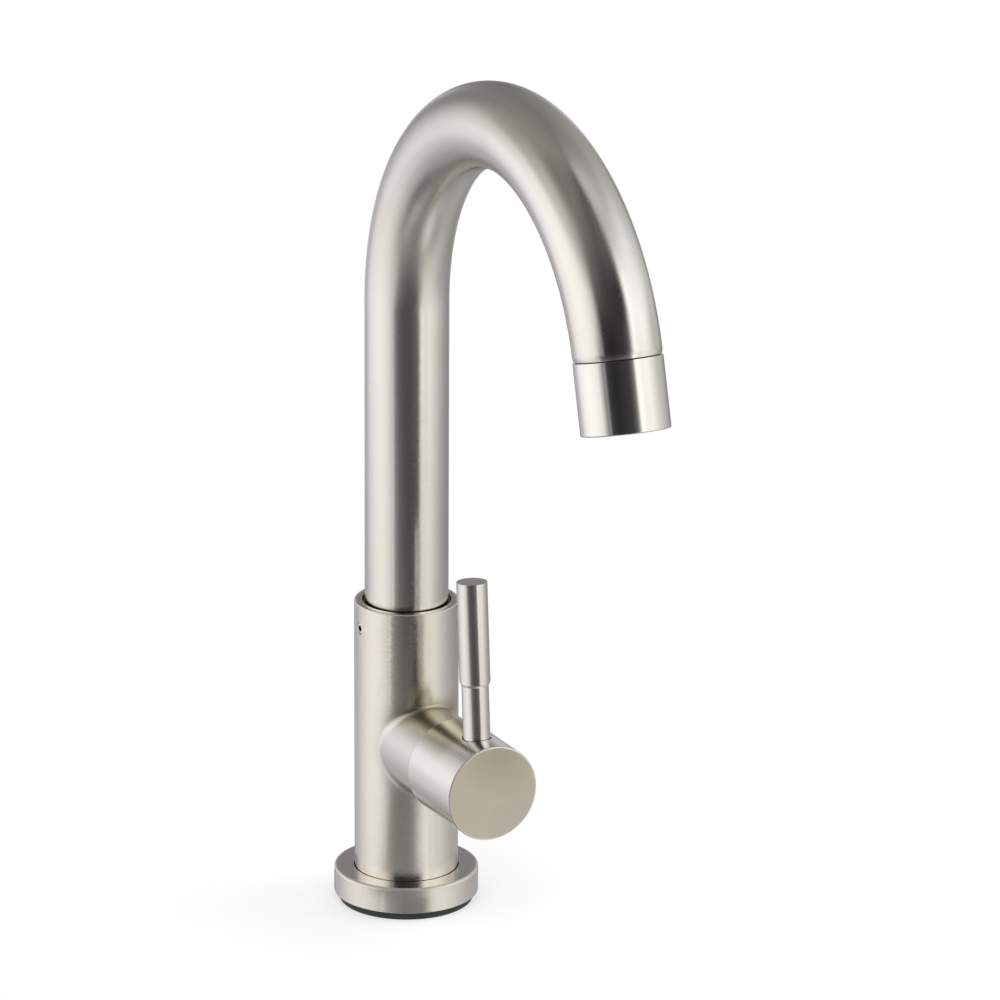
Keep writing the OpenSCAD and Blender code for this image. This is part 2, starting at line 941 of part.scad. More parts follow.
module outlet_insert() {
  color(brass_colour)
    at_outlet()
      difference() {
        union() {
          translate([0, 0, -insert_root])
            cylinder(h = insert_root - 1.5, r1 = tube_bore_r - 0.8, r2 = tube_bore_r - 0.1);
          translate([0, 0, -1.5])
            cylinder(h = 1.5 + seam_h / 2, r = tube_bore_r - 0.1);
          cylinder(h = seam_h, r = tube_r - 0.7);
          cylinder(h = insert_h, r = outlet_thread_r);
        }
        translate([0, 0, -insert_root - 1])
          cylinder(h = insert_root + insert_h + 2, r = outlet_thread_r - insert_wall);
      }
}

module aerator_collar() {
  color(spout_colour)
    at_outlet()
      difference() {
        translate([0, 0, seam_h])
          bar(collar_r, collar_h - seam_h, 0.2, collar_edge);
        cylinder(h = cage_reach, r = outlet_thread_r + collar_play);
        cylinder(h = lip_reach, r = cage_r + 0.1);
        cylinder(h = collar_h + 1, r = cage_r - 0.7);
      }
}

module aerator_washer() {
  color(rubber_colour)
    at_outlet()
      translate([0, 0, washer_reach])
        ring(cage_r, cage_r - 2, cage_reach - washer_reach);
}

module aerator_cage() {
  color(plastic_colour)
    at_outlet()
      difference() {
        translate([0, 0, cage_reach])
          cylinder(h = lip_reach - cage_reach, r = cage_r);
        translate([0, 0, cage_reach + 1.4])
          cylinder(h = screen_reach - cage_reach - 0.4, r = screen_r + 0.1);
        translate([0, 0, screen_reach])
          cylinder(h = lip_reach - screen_reach - 1.6, r = screen_r - 0.9);
        for (row = [[4, 3], [8, 5.4], [14, 7.8]])
          for (i = [1 : row[0]])
            rotate([0, 0, 360 * i / row[0]])
              translate([row[1], 0, cage_reach - 1])
                cylinder(h = 4, d = 1.3, $fn = 24);
        for (x = [-3 : 3])
          for (y = [-3 : 3])
            if (x * x + y * y < 10)
              translate([x * 2.7 - 1.1, y * 2.7 - 1.1, lip_reach - 3])
                cube([2.2, 2.2, 5]);
      }
}

module aerator_screens() {
  color(screw_colour)
    at_outlet()
      for (layer = [0, 1])
        translate([0, 0, screen_reach + 0.5 * layer])
          difference() {
            cylinder(h = 0.4, r = screen_r);
            for (x = [-4 : 4])
              for (y = [-4 : 4])
                if (x * x + y * y < 17)
                  translate([x * 1.9 - 0.7, y * 1.9 - 0.7, -1])
                    cube([1.4, 1.4, 3]);
          }
}

// output

deck_gasket();
cover_ring();
ring_seal();
column();
swivel_screw();
thrust_washer();
cartridge_seals();
cartridge_base();
fixed_disc();
cartridge_housing();
cartridge_nut();
dome_cover();
spout_tube();
spout_bush();
spout_seals();
slip_rings();
outlet_insert();
aerator_collar();
aerator_washer();
aerator_cage();
aerator_screens();
spindle_carrier();
pivot_pin();
moving_disc();
disc_slider();
spindle();
handle_cap();
cap_screw();
lever_stem();
lever_grip();
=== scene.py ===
"""Looks of a single-handle gooseneck basin mixer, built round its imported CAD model.

Everything is in metres in the CAD frame: the deck is z = 0, the column stands on the z axis,
and the spout and the handle point along -Y.
"""

from math import acos, asin, atan2, cos, hypot, pi, radians, sin, sqrt, tau

import bmesh
import bpy
from bpy.props import FloatProperty, FloatVectorProperty, IntProperty, PointerProperty
from mathutils import Matrix, Vector


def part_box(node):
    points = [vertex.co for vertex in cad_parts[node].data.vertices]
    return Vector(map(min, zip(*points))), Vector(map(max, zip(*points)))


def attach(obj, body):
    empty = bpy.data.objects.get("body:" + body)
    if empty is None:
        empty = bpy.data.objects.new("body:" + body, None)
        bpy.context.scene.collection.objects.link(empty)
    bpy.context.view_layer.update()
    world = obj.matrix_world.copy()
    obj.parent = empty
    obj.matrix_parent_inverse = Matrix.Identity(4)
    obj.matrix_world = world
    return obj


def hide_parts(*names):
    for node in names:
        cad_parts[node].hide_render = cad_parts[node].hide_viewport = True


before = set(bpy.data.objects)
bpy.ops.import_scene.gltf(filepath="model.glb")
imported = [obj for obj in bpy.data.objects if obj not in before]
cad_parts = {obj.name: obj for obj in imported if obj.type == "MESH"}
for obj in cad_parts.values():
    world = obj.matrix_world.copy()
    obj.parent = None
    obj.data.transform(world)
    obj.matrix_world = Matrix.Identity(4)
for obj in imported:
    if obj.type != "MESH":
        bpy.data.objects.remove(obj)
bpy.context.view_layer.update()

bl_info = {
    "name": "Basin mixer",
    "version": (1, 0, 0),
    "blender": (4, 5, 0),
    "location": "3D View > Sidebar > Mixer",
    "description": "Builds the visible pieces and finishes of a gooseneck basin mixer",
    "category": "Add Mesh",
}

MM = 0.001
# how close points are that count as one, and how close one is to a surface that it lies on
SAME, NEAR = 1e-7, 2e-6

# cells of the brushed grain in a metre: across it, along it, and along it round a turned piece
ACROSS, ALONG, ROUND = 2600, 14, 160
# what stains multiply the metal's colour by, and the colour of the painted shade on top of the boss
# and cap
STAIN, PAINTED_TOP_SHADE = (0.96, 0.90, 0.83), (0.72, 0.68, 0.57)

# the photograph's viewpoint, and the turn from -Y to it
CAMERA_PLACE = (-0.8180283, -1.6621224, 0.7376506)
CAMERA_FORWARD = (0.43455898, 0.84688583, -0.30650106)
CAMERA_TURN = radians(27.17)
TENT_CENTRE = Vector((0, -0.06, 0.15))
LAMP_TARGET = Vector((0, -0.05, 0.12))


# Properties


def length(name, description, value):
    return FloatProperty(
        name=name, description=description, default=value, min=0, precision=5,
        subtype="DISTANCE", unit="LENGTH",
    )


def angle(name, description, degrees):
    return FloatProperty(
        name=name, description=description, default=radians(degrees),
        subtype="ANGLE", unit="ROTATION",
    )


def share(name, description, value):
    return FloatProperty(
        name=name, description=description, default=value, min=0, max=1, subtype="FACTOR"
    )


def colour(name, description, value):
    return FloatVectorProperty(
        name=name, description=description, default=value, min=0, max=1, size=3, subtype="COLOR"
    )


class MixerSizes(bpy.types.PropertyGroup):
    """Sizes of the mixer's pieces, as in its CAD model."""

    gasket_radius: length("Gasket radius", "Outside of the deck gasket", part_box("deck_gasket")[1].x)
    gasket_bore: length("Gasket bore", "Radius of the hole in the gasket", 14.5 * MM)
    foot: length("Foot", "Height of the gasket's top over the deck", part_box("deck_gasket")[1].z)
    ring_radius: length("Ring radius", "Outside of the cover ring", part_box("cover_ring")[1].x)
    ring_bore: length("Ring bore", "Radius of the cover ring's hole", 17.65 * MM)
    ring_top: length("Ring top", "Height of the cover ring's top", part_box("cover_ring")[1].z)
    ring_edge: length("Ring edge", "Radius of the cover ring's upper edge", 0.9 * MM)
    column_radius: length("Column radius", "Outside of the column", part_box("column")[1].x)
    rim: length("Rim", "Height of the column's rim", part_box("column")[1].z)
    rim_edge: length("Rim edge", "Width of the rim's chamfers", 0.4 * MM)
    socket_radius: length("Socket radius", "Bore that takes the spout's foot", 15 * MM)
    socket_floor: length("Socket floor", "Height of the bottom of that bore", 73.75 * MM)
    handle_height: length("Handle height", "Height of the boss and handle axis", 58.5 * MM)
    boss_radius: length("Boss radius", "Outside of the side boss", 14.7 * MM)
    boss_bore: length("Boss bore", "Radius of the bore for the cartridge", 12.75 * MM)
    boss_reach: length("Boss reach", "From the column's axis to the boss's mouth", 33.4 * MM)
    weld_radius: length("Weld radius", "Radius of the ball that rolls round the weld", 4 * MM)
    pivot_reach: length("Pivot reach", "From the column's axis to the lever's pivot", 31.8 * MM)
    dome_wall: length("Dome wall", "Thickness of the dome", 1.4 * MM)
    dome_mouth: length("Dome mouth", "Radius of the dome's opening", 8.8 * MM)
    cap_radius: length("Cap radius", "Outside of the handle cap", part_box("handle_cap")[1].x)
    cap_back: length("Cap back", "Distance of the cap's rear rim", -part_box("handle_cap")[1].y)
    cap_front: length("Cap front", "Distance of the cap's flat face", -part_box("handle_cap")[0].y)
    cap_edge: length("Cap edge", "Chamfer round the cap's flat face", 0.5 * MM)
    lever_reach: length("Lever reach", "Distance of the lever from the column's axis", 53.5 * MM)
    lever_lean: angle("Lever lean", "Lean of the lever towards the column", 4.5)
    stem_radius: length("Stem radius", "Outside of the lever's stem", 4.5 * MM)
    grip_radius: length("Grip radius", "Outside of the lever's grip", 5.1 * MM)
    grip_foot: length("Grip foot", "Distance of the grip's foot from the handle axis", 33.7 * MM)
    grip_top: length("Grip top", "Distance of the grip's flat top from the handle axis", 68.7 * MM)
    tube_radius: length("Tube radius", "Outside of the spout tube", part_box("spout_tube")[1].x)
    tube_bore: length("Tube bore", "Inside of the spout tube", 13.2 * MM)
    tube_foot: length("Tube foot", "Height where the tube starts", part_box("spout_tube")[0].z)
    riser_top: length("Riser top", "Height where the bend starts", 210 * MM)
    bend_radius: length("Bend radius", "Radius of the tube's middle line", 74.5 * MM)
    bend_angle: angle("Bend angle", "Angle that the tube turns through", 165)
    collar_radius: length("Collar radius", "Outside of the aerator collar", 14.1 * MM)
    collar_length: length("Collar length", "From the tube's end to the collar's edge", 23 * MM)
    seam: length("Seam", "Gap between tube and collar", 0.35 * MM)
    turns: IntProperty(name="Turns", description="Faces round each ring", default=144, min=24)


class MixerFinishes(bpy.types.PropertyGroup):
    """Colours and gloss of the mixer's finishes."""

    satin: colour("Satin steel", "Colour of the column, ring and handle", (0.845, 0.80, 0.725))
    ring: colour("Satin ring", "Colour of the cover ring", (0.855, 0.80, 0.74))
    cap: colour("Satin cap", "Colour of the handle cap and dome", (0.835, 0.80, 0.752))
    tube: colour("Satin tube", "Colour of the spout tube", (0.82, 0.79, 0.735))
    bright: colour("Bright steel", "Colour of the collar", (0.885, 0.865, 0.80))
    face: colour("Cap face", "Colour of the cap's flat face", (0.655, 0.58, 0.475))
    screw: colour("Screw steel", "Colour of the set screws and screens", (0.90, 0.89, 0.87))
    brass: colour("Brass", "Colour of the brass parts inside", (0.78, 0.60, 0.30))
    # painted shade: brass made near black, standing for the shadow in the aerator's seam, at the
    # cover ring's bore edge and in the set screws' sockets
    painted_shade: colour("Brass painted with shade", "Colour of brass in the aerator's dark gap", (0.06, 0.055, 0.045))
    # painted shade: the bush's brass darkened, standing for the shadow deep in the gap round the tube
    bush: colour("Bush", "Colour of the bush in the gap round the tube", (0.26, 0.23, 0.17))
    gasket: colour("Gasket rubber", "Colour of the deck gasket", (0.030, 0.052, 0.038))
    rubber: colour("Seal rubber", "Colour of the seals inside", (0.012, 0.012, 0.013))
    white: colour("White plastic", "Colour of the cartridge and aerator", (0.80, 0.79, 0.76))
    grey: colour("Grey plastic", "Colour of the carrier and slider", (0.16, 0.17, 0.19))
    ceramic: colour("Ceramic", "Colour of the two discs", (0.86, 0.85, 0.82))
    satin_rough: share("Satin roughness", "Roughness of the column and cap", 0.135)
    tube_rough: share("Tube roughness", "Roughness of the spout tube", 0.12)
    bright_rough: share("Bright roughness", "Roughness of the collar and grip", 0.11)
    face_rough: share("Face roughness", "Roughness of the cap's flat face", 0.40)


class MixerStage(bpy.types.PropertyGroup):
    """Camera, lamps and light tent."""

    lens: FloatProperty(name="Lens", description="Focal length in millimetres", default=210.709)
    roll: angle("Roll", "Roll of the camera", 0.3577)
    ambient: share("Ambient", "Strength of the white surroundings on matt parts", 0.78)
    lamp: FloatProperty(name="Lamp", description="Power of the soft lamp", default=14, unit="POWER")
    tent_radius: length("Tent radius", "Radius of the light tent that the metal reflects", 0.9)


# Frames of the groups of pieces


def boss_frame(size):
    """+Z runs out along the side boss and +Y stays up."""
    return Matrix.Translation((0, 0, size.handle_height)) @ Matrix.Rotation(pi / 2, 4, "X")


def swivel_screw_frame(size):
    """+Z runs out of the column's side, along the swivel screw."""
    return Matrix.Translation((0, 0, size.rim - 8 * MM)) @ Matrix.Rotation(-pi / 2, 4, "Y")


def lever_frame(size):
    """+Z runs up the lever, from the handle axis."""
    out = Matrix.Translation((0, 0, size.lever_reach))
    return boss_frame(size) @ out @ Matrix.Rotation(-pi / 2 - size.lever_lean, 4, "X")


def cap_screw_frame(size):
    """+Z runs down out of the cap's underside, from the handle axis."""
    out = Matrix.Translation((0, 0, size.lever_reach))
    return boss_frame(size) @ out @ Matrix.Rotation(pi / 2, 4, "X")


def bend_frame(size, turned):
    """+Z runs along the tube where it has turned by an angle."""
    middle = Matrix.Translation((0, -size.bend_radius, size.riser_top))
    return middle @ Matrix.Rotation(turned, 4, "X") @ Matrix.Translation((0, size.bend_radius, 0))


# Mesh helpers


def lathe(place, turns, profile, rounded):
    """Spins a profile of (radius, height) points round z, then rounds its corners.

    rounded is {corner: (width, segments)}, with a third item where it has its own finish.
    """
    bm = bmesh.new()
    points = [bm.verts.new((radius, 0, height)) for radius, height in profile]
    closed = points if profile[0][0] else points[:-1]
    rims = [bm.edges.new((a, points[(i + 1) % len(points)])) for i, a in enumerate(closed)]
    bmesh.ops.spin(
        bm, geom=points + rims, cent=(0, 0, 0), axis=(0, 0, 1), dvec=(0, 0, 0), angle=tau,
        steps=turns, use_merge=True, use_duplicate=False,
    )
    bmesh.ops.remove_doubles(bm, verts=bm.verts, dist=SAME)
    bmesh.ops.recalc_face_normals(bm, faces=bm.faces)
    for corner, (width, segments, *finish) in rounded.items():
        radius, height = profile[corner]
        ring = [
            edge for edge in bm.edges
            if all(abs(v.co.xy.length - radius) + abs(v.co.z - height) < SAME for v in edge.verts)
        ]
        bmesh.ops.bevel(
            bm, geom=ring, offset=width, offset_type="OFFSET", affect="EDGES",
            segments=segments, profile=0.5, material=finish[0] if finish else -1,
        )
    bmesh.ops.transform(bm, matrix=place, verts=bm.verts)
    return bm


def bar(place, radius, low, high, segments=48):
    """A plain round bar along z, used as a cutter or a filling."""
    bm = bmesh.new()
    bmesh.ops.create_cone(
        bm, cap_ends=True, segments=segments, radius1=radius, radius2=radius, depth=high - low,
        matrix=place @ Matrix.Translation((0, 0, (low + high) / 2)),
    )
    return bm


def draw_out(bm, edges):
    """Draws the next faces out of edges, and gives the new vertices and edges."""
    drawn = bmesh.ops.extrude_edge_only(bm, edges=edges)["geom"]
    vertices = [item for item in drawn if isinstance(item, bmesh.types.BMVert)]
    return vertices, [item for item in drawn if isinstance(item, bmesh.types.BMEdge)]


def put(name, data):
    """Puts a new object into the scene."""
    thing = bpy.data.objects.new(name, data)
    bpy.context.scene.collection.objects.link(thing)
    return thing


def combine(mesh, steps):
    """Joins bars to a mesh ("UNION") or cuts them from it ("DIFFERENCE"), one by one."""
    body, tools = put("body", mesh), []
    for operation, bm in steps:
        tools.append(put("tool", new_mesh("tool", bm)))
        cut = body.modifiers.new("cut", "BOOLEAN")
        cut.object, cut.operation, cut.solver = tools[-1], operation, "EXACT"
    result = body.evaluated_get(bpy.context.evaluated_depsgraph_get())
    made = bpy.data.meshes.new_from_object(result)
    for old in [body, *tools]:
        bpy.data.objects.remove(old)
    if not made.polygons:
        raise RuntimeError("a cut left nothing of " + mesh.name)
    made.name = mesh.name
    return made


def new_mesh(name, bm):
    mesh = bpy.data.meshes.new(name)
    bm.to_mesh(mesh)
    bm.free()
    return mesh


def true_normals(mesh, surface):
    """Gives each corner the exact normal of its surface, where surface(vertex) knows one that is
    near the face's own."""
    mesh.shade_smooth()
    mesh.set_sharp_from_angle(angle=radians(32))
    known = [surface(vertex) for vertex in mesh.vertices]
    normals = [Vector((0, 0, 0))] * len(mesh.loops)
    for face in mesh.polygons:
        for corner, vertex in zip(face.loop_indices, face.vertices):
            fitting = [n for n in known[vertex] if n.dot(face.normal) > 0.88]
            if fitting:
                normals[corner] = max(fitting, key=face.normal.dot)
    mesh.normals_split_custom_set(normals)


def add_piece(name, mesh, body, finishes, node, even=True):
    """Makes a mesh a piece of the mixer that moves with a CAD body and stands for a CAD node."""
    if isinstance(mesh, bmesh.types.BMesh):
        mesh = new_mesh(name, mesh)
    mesh.name = name
    piece = put(name, mesh)
    if even:
        mesh.shade_smooth()
        mesh.set_sharp_from_angle(angle=radians(40))
        piece.modifiers.new("even_normals", "WEIGHTED_NORMAL").keep_sharp = True
    for finish in finishes:
        mesh.materials.append(MadeFinishes.get(finish))
    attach(piece, body)
    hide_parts(node)


# Finishes


class Value:
    """A node's output that can be used in a sum; each operator adds one Math node."""

    def __init__(self, finish, socket):
        self.finish, self.socket = finish, socket

    def math(self, operation, *others):
        inputs = dict(enumerate([self, *others]))
        return self.finish.node("ShaderNodeMath", {"operation": operation}, inputs)

    def __add__(self, other):
        return self.math("ADD", other)

    def __sub__(self, other):
        return self.math("SUBTRACT", other)

    def __mul__(self, other):
        return self.math("MULTIPLY", other)

    def __truediv__(self, other):
        return self.math("DIVIDE", other)

    def __rsub__(self, other):
        return self.finish.node("ShaderNodeMath", {"operation": "SUBTRACT"}, {0: other, 1: self})

    __radd__, __rmul__ = __add__, __mul__


class Finish:
    """A material's or the world's node tree while it is being built."""

    def __init__(self, owner):
        owner.use_nodes = True
        self.owner, self.tree = owner, owner.node_tree
        self.tree.nodes.clear()

    def node(self, kind, settings=None, inputs=None, output=0):
        """Adds a node, sets it up, and feeds its sockets with numbers or other nodes' outputs."""
        node = self.tree.nodes.new(kind)
        for key, setting in (settings or {}).items():
            if key == "stops":
                ramp = node.color_ramp.elements
                while len(ramp) < len(setting):
                    ramp.new(1)
                for stop, (position, level) in zip(ramp, sorted(setting)):
                    stop.position, stop.color = position, (*[level] * 3, 1)
            else:
                setattr(node, key, setting)
        for key, given in (inputs or {}).items():
            socket = node.inputs[key]
            if isinstance(given, Value):
                self.tree.links.new(given.socket, socket)
            else:
                socket.default_value = given
        return Value(self, node.outputs[output]) if len(node.outputs) else None

    def place(self, source="Object", scale=(1, 1, 1)):
        """Coordinates on the piece, stretched."""
        source = self.node("ShaderNodeTexCoord", None, None, source)
        return self.node("ShaderNodeMapping", None, {"Vector": source, "Scale": scale})

    def axis(self, vector, index):
        return self.node("ShaderNodeSeparateXYZ", None, {0: vector}, index)

    def distance(self, vector, point):
        inputs = {0: vector, 1: point}
        return self.node("ShaderNodeVectorMath", {"operation": "DISTANCE"}, inputs, "Value")

    def noise(self, vector, scale, detail=2.0, rough=0.5):
        inputs = {"Vector": vector, "Scale": scale, "Detail": detail, "Roughness": rough}
        return self.node("ShaderNodeTexNoise", None, inputs, "Fac")

    def between(self, low, high, factor, blend="MIX"):
        """A colour between two colours, or with "MULTIPLY" the first one tinted by the second."""
        low, high = (c if isinstance(c, Value) else (*c, 1) for c in (low, high))
        settings = {"data_type": "RGBA", "blend_type": blend}
        return self.node("ShaderNodeMix", settings, {0: factor, 6: low, 7: high}, 2)

    def step(self, value, low, high):
        """0 under low, 1 over high, and a smooth climb between them."""
        return self.node(
            "ShaderNodeMapRange", {"interpolation_type": "SMOOTHSTEP"},
            {"Value": value, "From Min": low, "From Max": high},
        )

    def band(self, value, low, high, fall, end):
        """1 from high to fall, 0 outside low and end, and smooth between."""
        return self.step(value, low, high) * (1 - self.step(value, fall, end))

    def bump(self, height, strength):
        inputs = {"Height": height, "Strength": strength, "Distance": 0.05 * MM}
        return self.node("ShaderNodeBump", None, inputs)

    def ray(self, kind):
        """1 for one kind of ray, 0 for all others."""
        return self.node("ShaderNodeLightPath", None, None, "Is " + kind + " Ray")

    def emission(self, strength, colour=(1, 1, 1, 1)):
        return self.node("ShaderNodeEmission", None, {"Strength": strength, "Color": colour})

    def either(self, factor, first, second):
        """One shader where the factor is 0, and another where it is 1."""
        return self.node("ShaderNodeMixShader", None, {0: factor, 1: first, 2: second})

    def principled(self, metallic, colour, gloss, relief):
        inputs = {"Metallic": metallic, "Base Color": colour, "Roughness": gloss, "Normal": relief}
        return self.surface(self.node("ShaderNodeBsdfPrincipled", None, inputs))

    def surface(self, shader):
        kind = "World" if isinstance(self.owner, bpy.types.World) else "Material"
        self.node("ShaderNodeOutput" + kind, None, {"Surface": shader})
        return self.owner


def tinted(base, factor):
    return tuple(min(1, c * factor) for c in base)


def metal(
    name, base, rough, grain, source="Object", streak=0.05, depth=0.1, stained=0.2,
    ground=None, painted_top_shade=False, bent=None,
):
    """Brushed metal: long fine streaks in gloss and relief, faint clouds, and stains.

    ground: (layer, grain, rougher, colour) where the piece's own layer is 1, as on a weld
    painted_top_shade: whether the top of the boss and cap is darkened with painted shade, standing
    for a dark reflection there
    bent: the distances along the tube between which its duller bend fades in and out again
    """
    finish = Finish(bpy.data.materials.new(name))
    place, brushed = finish.place(), finish.place(source, grain)
    fine = finish.noise(brushed, 1, 3, 0.6)
    coarse = finish.noise(brushed, 0.22, 2)
    hairs = finish.noise(brushed, 3.5, 1)
    clouds = finish.noise(place, 38, 3)
    stain = finish.step(finish.noise(place, 62, 2), 0.52, 0.80)
    low, high = tinted(base, 0.95), tinted(base, 1.04)
    if ground:
        layer, other_grain, rougher, colour = ground
        there = finish.node("ShaderNodeAttribute", {"attribute_name": layer}, None, "Fac")
        other = finish.noise(finish.place("Object", other_grain), 1, 3, 0.6)
        fine = fine * (1 - there) + other * there
        hairs = hairs * (1 - there) + other * there
        rough = rough + there * rougher
        low = finish.between(low, tinted(colour, 0.95), there)
        high = finish.between(high, tinted(colour, 1.04), there)
    if bent:
        along = finish.axis(finish.place("UV"), 1) / ACROSS
        rough = rough + 0.11 * finish.band(along, *bent)
    gloss = rough + streak * (fine - 0.5) + 0.05 * (clouds - 0.5) + streak * (coarse - 0.5)
    shade = finish.between(low, high, clouds * 0.6 + fine * 0.4)
    # painted shade: the top of the boss and cap darkened, standing for a dark reflection there
    if painted_top_shade:
        high_up = finish.step(finish.axis(place, 2), 66 * MM, 72 * MM)
        near = finish.step(finish.axis(place, 1), -56 * MM, -46 * MM)
        painted_shade_on_top = high_up * near * (0.8 + 0.4 * clouds)
        if ground:
            painted_shade_on_top = painted_shade_on_top * there
        shade = finish.between(shade, PAINTED_TOP_SHADE, painted_shade_on_top, "MULTIPLY")
    shade = finish.between(shade, STAIN, stain * stained, "MULTIPLY")
    relief = finish.bump(hairs + 0.12 * fine + 0.05 * coarse, depth)
    return finish.principled(1.0, shade, gloss, relief)


def moulded(name, base, rough, grain=900, speck=0.04, depth=0.2):
    """Moulded plastic, rubber or pressed ceramic, with a fine grain and slight clouding."""
    finish = Finish(bpy.data.materials.new(name))
    place = finish.place()
    fine = finish.noise(place, grain, 3)
    clouds = finish.noise(place, 70, 2)
    shade = finish.between(tinted(base, 1 - speck * 3), tinted(base, 1 + speck), clouds)
    gloss = rough + 0.10 * (fine - 0.5) + 0.08 * (clouds - 0.5)
    return finish.principled(0.0, shade, gloss, finish.bump(fine, depth))


def flat_face(name, base, rough):
    """The cap's flat face: satin brushed across, darkened above its middle by painted shade,
    and greyer towards the low right."""
    finish = Finish(bpy.data.materials.new(name))
    place = finish.place()
    fine = finish.noise(finish.place("Object", (90, ACROSS, ACROSS)), 1, 3, 0.6)
    clouds = finish.noise(place, 70, 2)
    # painted shade: the face darker above its middle
    painted_shade_above = 1 - finish.step(finish.distance(place, (0.003, -0.064, 0.071)), 0, 0.019)
    greyer = 1 - finish.step(finish.distance(place, (0.010, -0.064, 0.046)), 0.004, 0.022)
    darker = painted_shade_above * 0.9 + (clouds - 0.5) * 0.5 + (fine - 0.5) * 0.35
    shade = finish.between(base, (0.60, 0.555, 0.475), greyer)
    shade = finish.between(shade, tinted(base, 0.76), darker)
    gloss = rough + 0.10 * (fine - 0.5) + 0.06 * (clouds - 0.5)
    return finish.principled(1.0, shade, gloss, finish.bump(fine, 0.25))


def make_finishes(look, size):
    """Every finish of the mixer by name."""
    around_z, along_z = (ROUND, ROUND, ACROSS), (ACROSS, ACROSS, ALONG)
    along_y, plain, turned = (ACROSS, ALONG, ACROSS), (900, 900, 900), (700, 700, 2200)
    satin, bright = look.satin_rough, look.bright_rough
    bend = size.riser_top - size.tube_foot
    bent = (bend - 0.030, bend + 0.025, bend + 0.115, bend + 0.180)
    ground = ("weld", (420, 9000, 420), 0.17, tinted(look.cap, 0.95))
    return {
        "column": metal(
            "satin_steel", look.satin, satin, around_z,
            streak=0.03, depth=0.5, ground=ground, painted_top_shade=True,
        ),
        "ring": metal("satin_ring", look.ring, satin, around_z, streak=0.03, depth=0.4),
        "cap": metal(
            "satin_cap", tinted(look.cap, 1.05), satin + 0.045, along_y, depth=0.35, painted_top_shade=True
        ),
        "face": flat_face("satin_face", look.face, look.face_rough),
        # the edges' finish: the satin made brighter, a painted highlight on rounded edges and
        # chamfers, and also rougher
        "edge": metal("satin_edge_painted_highlight", tinted(look.satin, 1.1), 0.5, plain),
        "tube": metal(
            "satin_tube", look.tube, look.tube_rough, (1, 1, 1), "UV",
            depth=0.4, stained=0.35, bent=bent,
        ),
        "collar": metal("bright_collar", look.bright, bright, around_z, streak=0.03),
        "grip": metal("bright_grip", look.tube, bright + 0.08, along_z, streak=0.03),
        "screw": metal("screw_steel", look.screw, 0.42, plain),
        "brass": metal("turned_brass", look.brass, 0.30, turned),
        # painted shade: near-black brass for the seams, the ring's bore edge and the screw sockets
        "painted_shade": metal("painted_shade_brass", look.painted_shade, 0.45, turned),
        # painted shade: the bush darkened for the shadow in the gap round the tube
        "bush": metal("bush_brass", look.bush, 0.45, turned),
        "gasket": moulded("gasket_rubber", look.gasket, 0.62, 1400, 0.10),
        "rubber": moulded("seal_rubber", look.rubber, 0.55, 1500, 0.10),
        "white": moulded("white_plastic", look.white, 0.42),
        "grey": moulded("grey_plastic", look.grey, 0.40),
        "ceramic": moulded("disc_ceramic", look.ceramic, 0.16, 2600, 0.02, 0.05),
    }


class MadeFinishes:
    """The finishes, made once and then shared by the operators."""

    made = {}

    @classmethod
    def get(cls, name):
        if not cls.made:
            scene = bpy.context.scene
            cls.made = make_finishes(scene.mixer_finishes, scene.mixer_sizes)
        return cls.made[name]


# Operators


class MixerOperator(bpy.types.Operator):
    """Shared by the operators that build the mixer."""

    bl_idname = "mixer.base"
    bl_label = "Mixer step"
    bl_options = {"REGISTER", "UNDO"}

    def execute(self, context):
        self.build(context.scene.mixer_sizes)
        return {"FINISHED"}


class MIXER_OT_base(MixerOperator):
    """Build the deck gasket and the cover ring"""

    bl_idname = "mixer.base_rings"
    bl_label = "Gasket and cover ring"

    def build(self, size):
        outer, bore, top = size.gasket_radius, size.gasket_bore, size.foot
        profile = [(outer, 0), (outer, top), (bore, top), (bore, 0)]
        gasket = lathe(Matrix(), size.turns, profile, {0: (0.25 * MM, 3), 1: (0.25 * MM, 3)})
        add_piece("gasket_ring", gasket, "column_group", ["gasket"], "deck_gasket")

        outer, bore, foot, top = size.ring_radius, size.ring_bore, size.foot, size.ring_top
        groove, middle = bore + 0.95 * MM, (foot + top) / 2
        profile = [
            (outer, foot), (outer, top), (bore, top), (bore, middle + 0.6 * MM),
            (groove, middle + 0.6 * MM), (groove, middle - 0.6 * MM),
            (bore, middle - 0.6 * MM), (bore, foot),
        ]
        # the bore's rounded edge (slot 2) takes painted shade, standing for the dark seam round the
        # column's foot
        rounded = {0: (0.25 * MM, 3), 1: (size.ring_edge, 8, 1), 2: (0.18 * MM, 3, 2)}
        ring = lathe(Matrix(), size.turns, profile, rounded)
        # the ring's rounded top edge takes the edge finish with its painted highlight
        finishes = ("ring", "edge", "painted_shade")
        add_piece("escutcheon", ring, "column_group", finishes, "cover_ring")


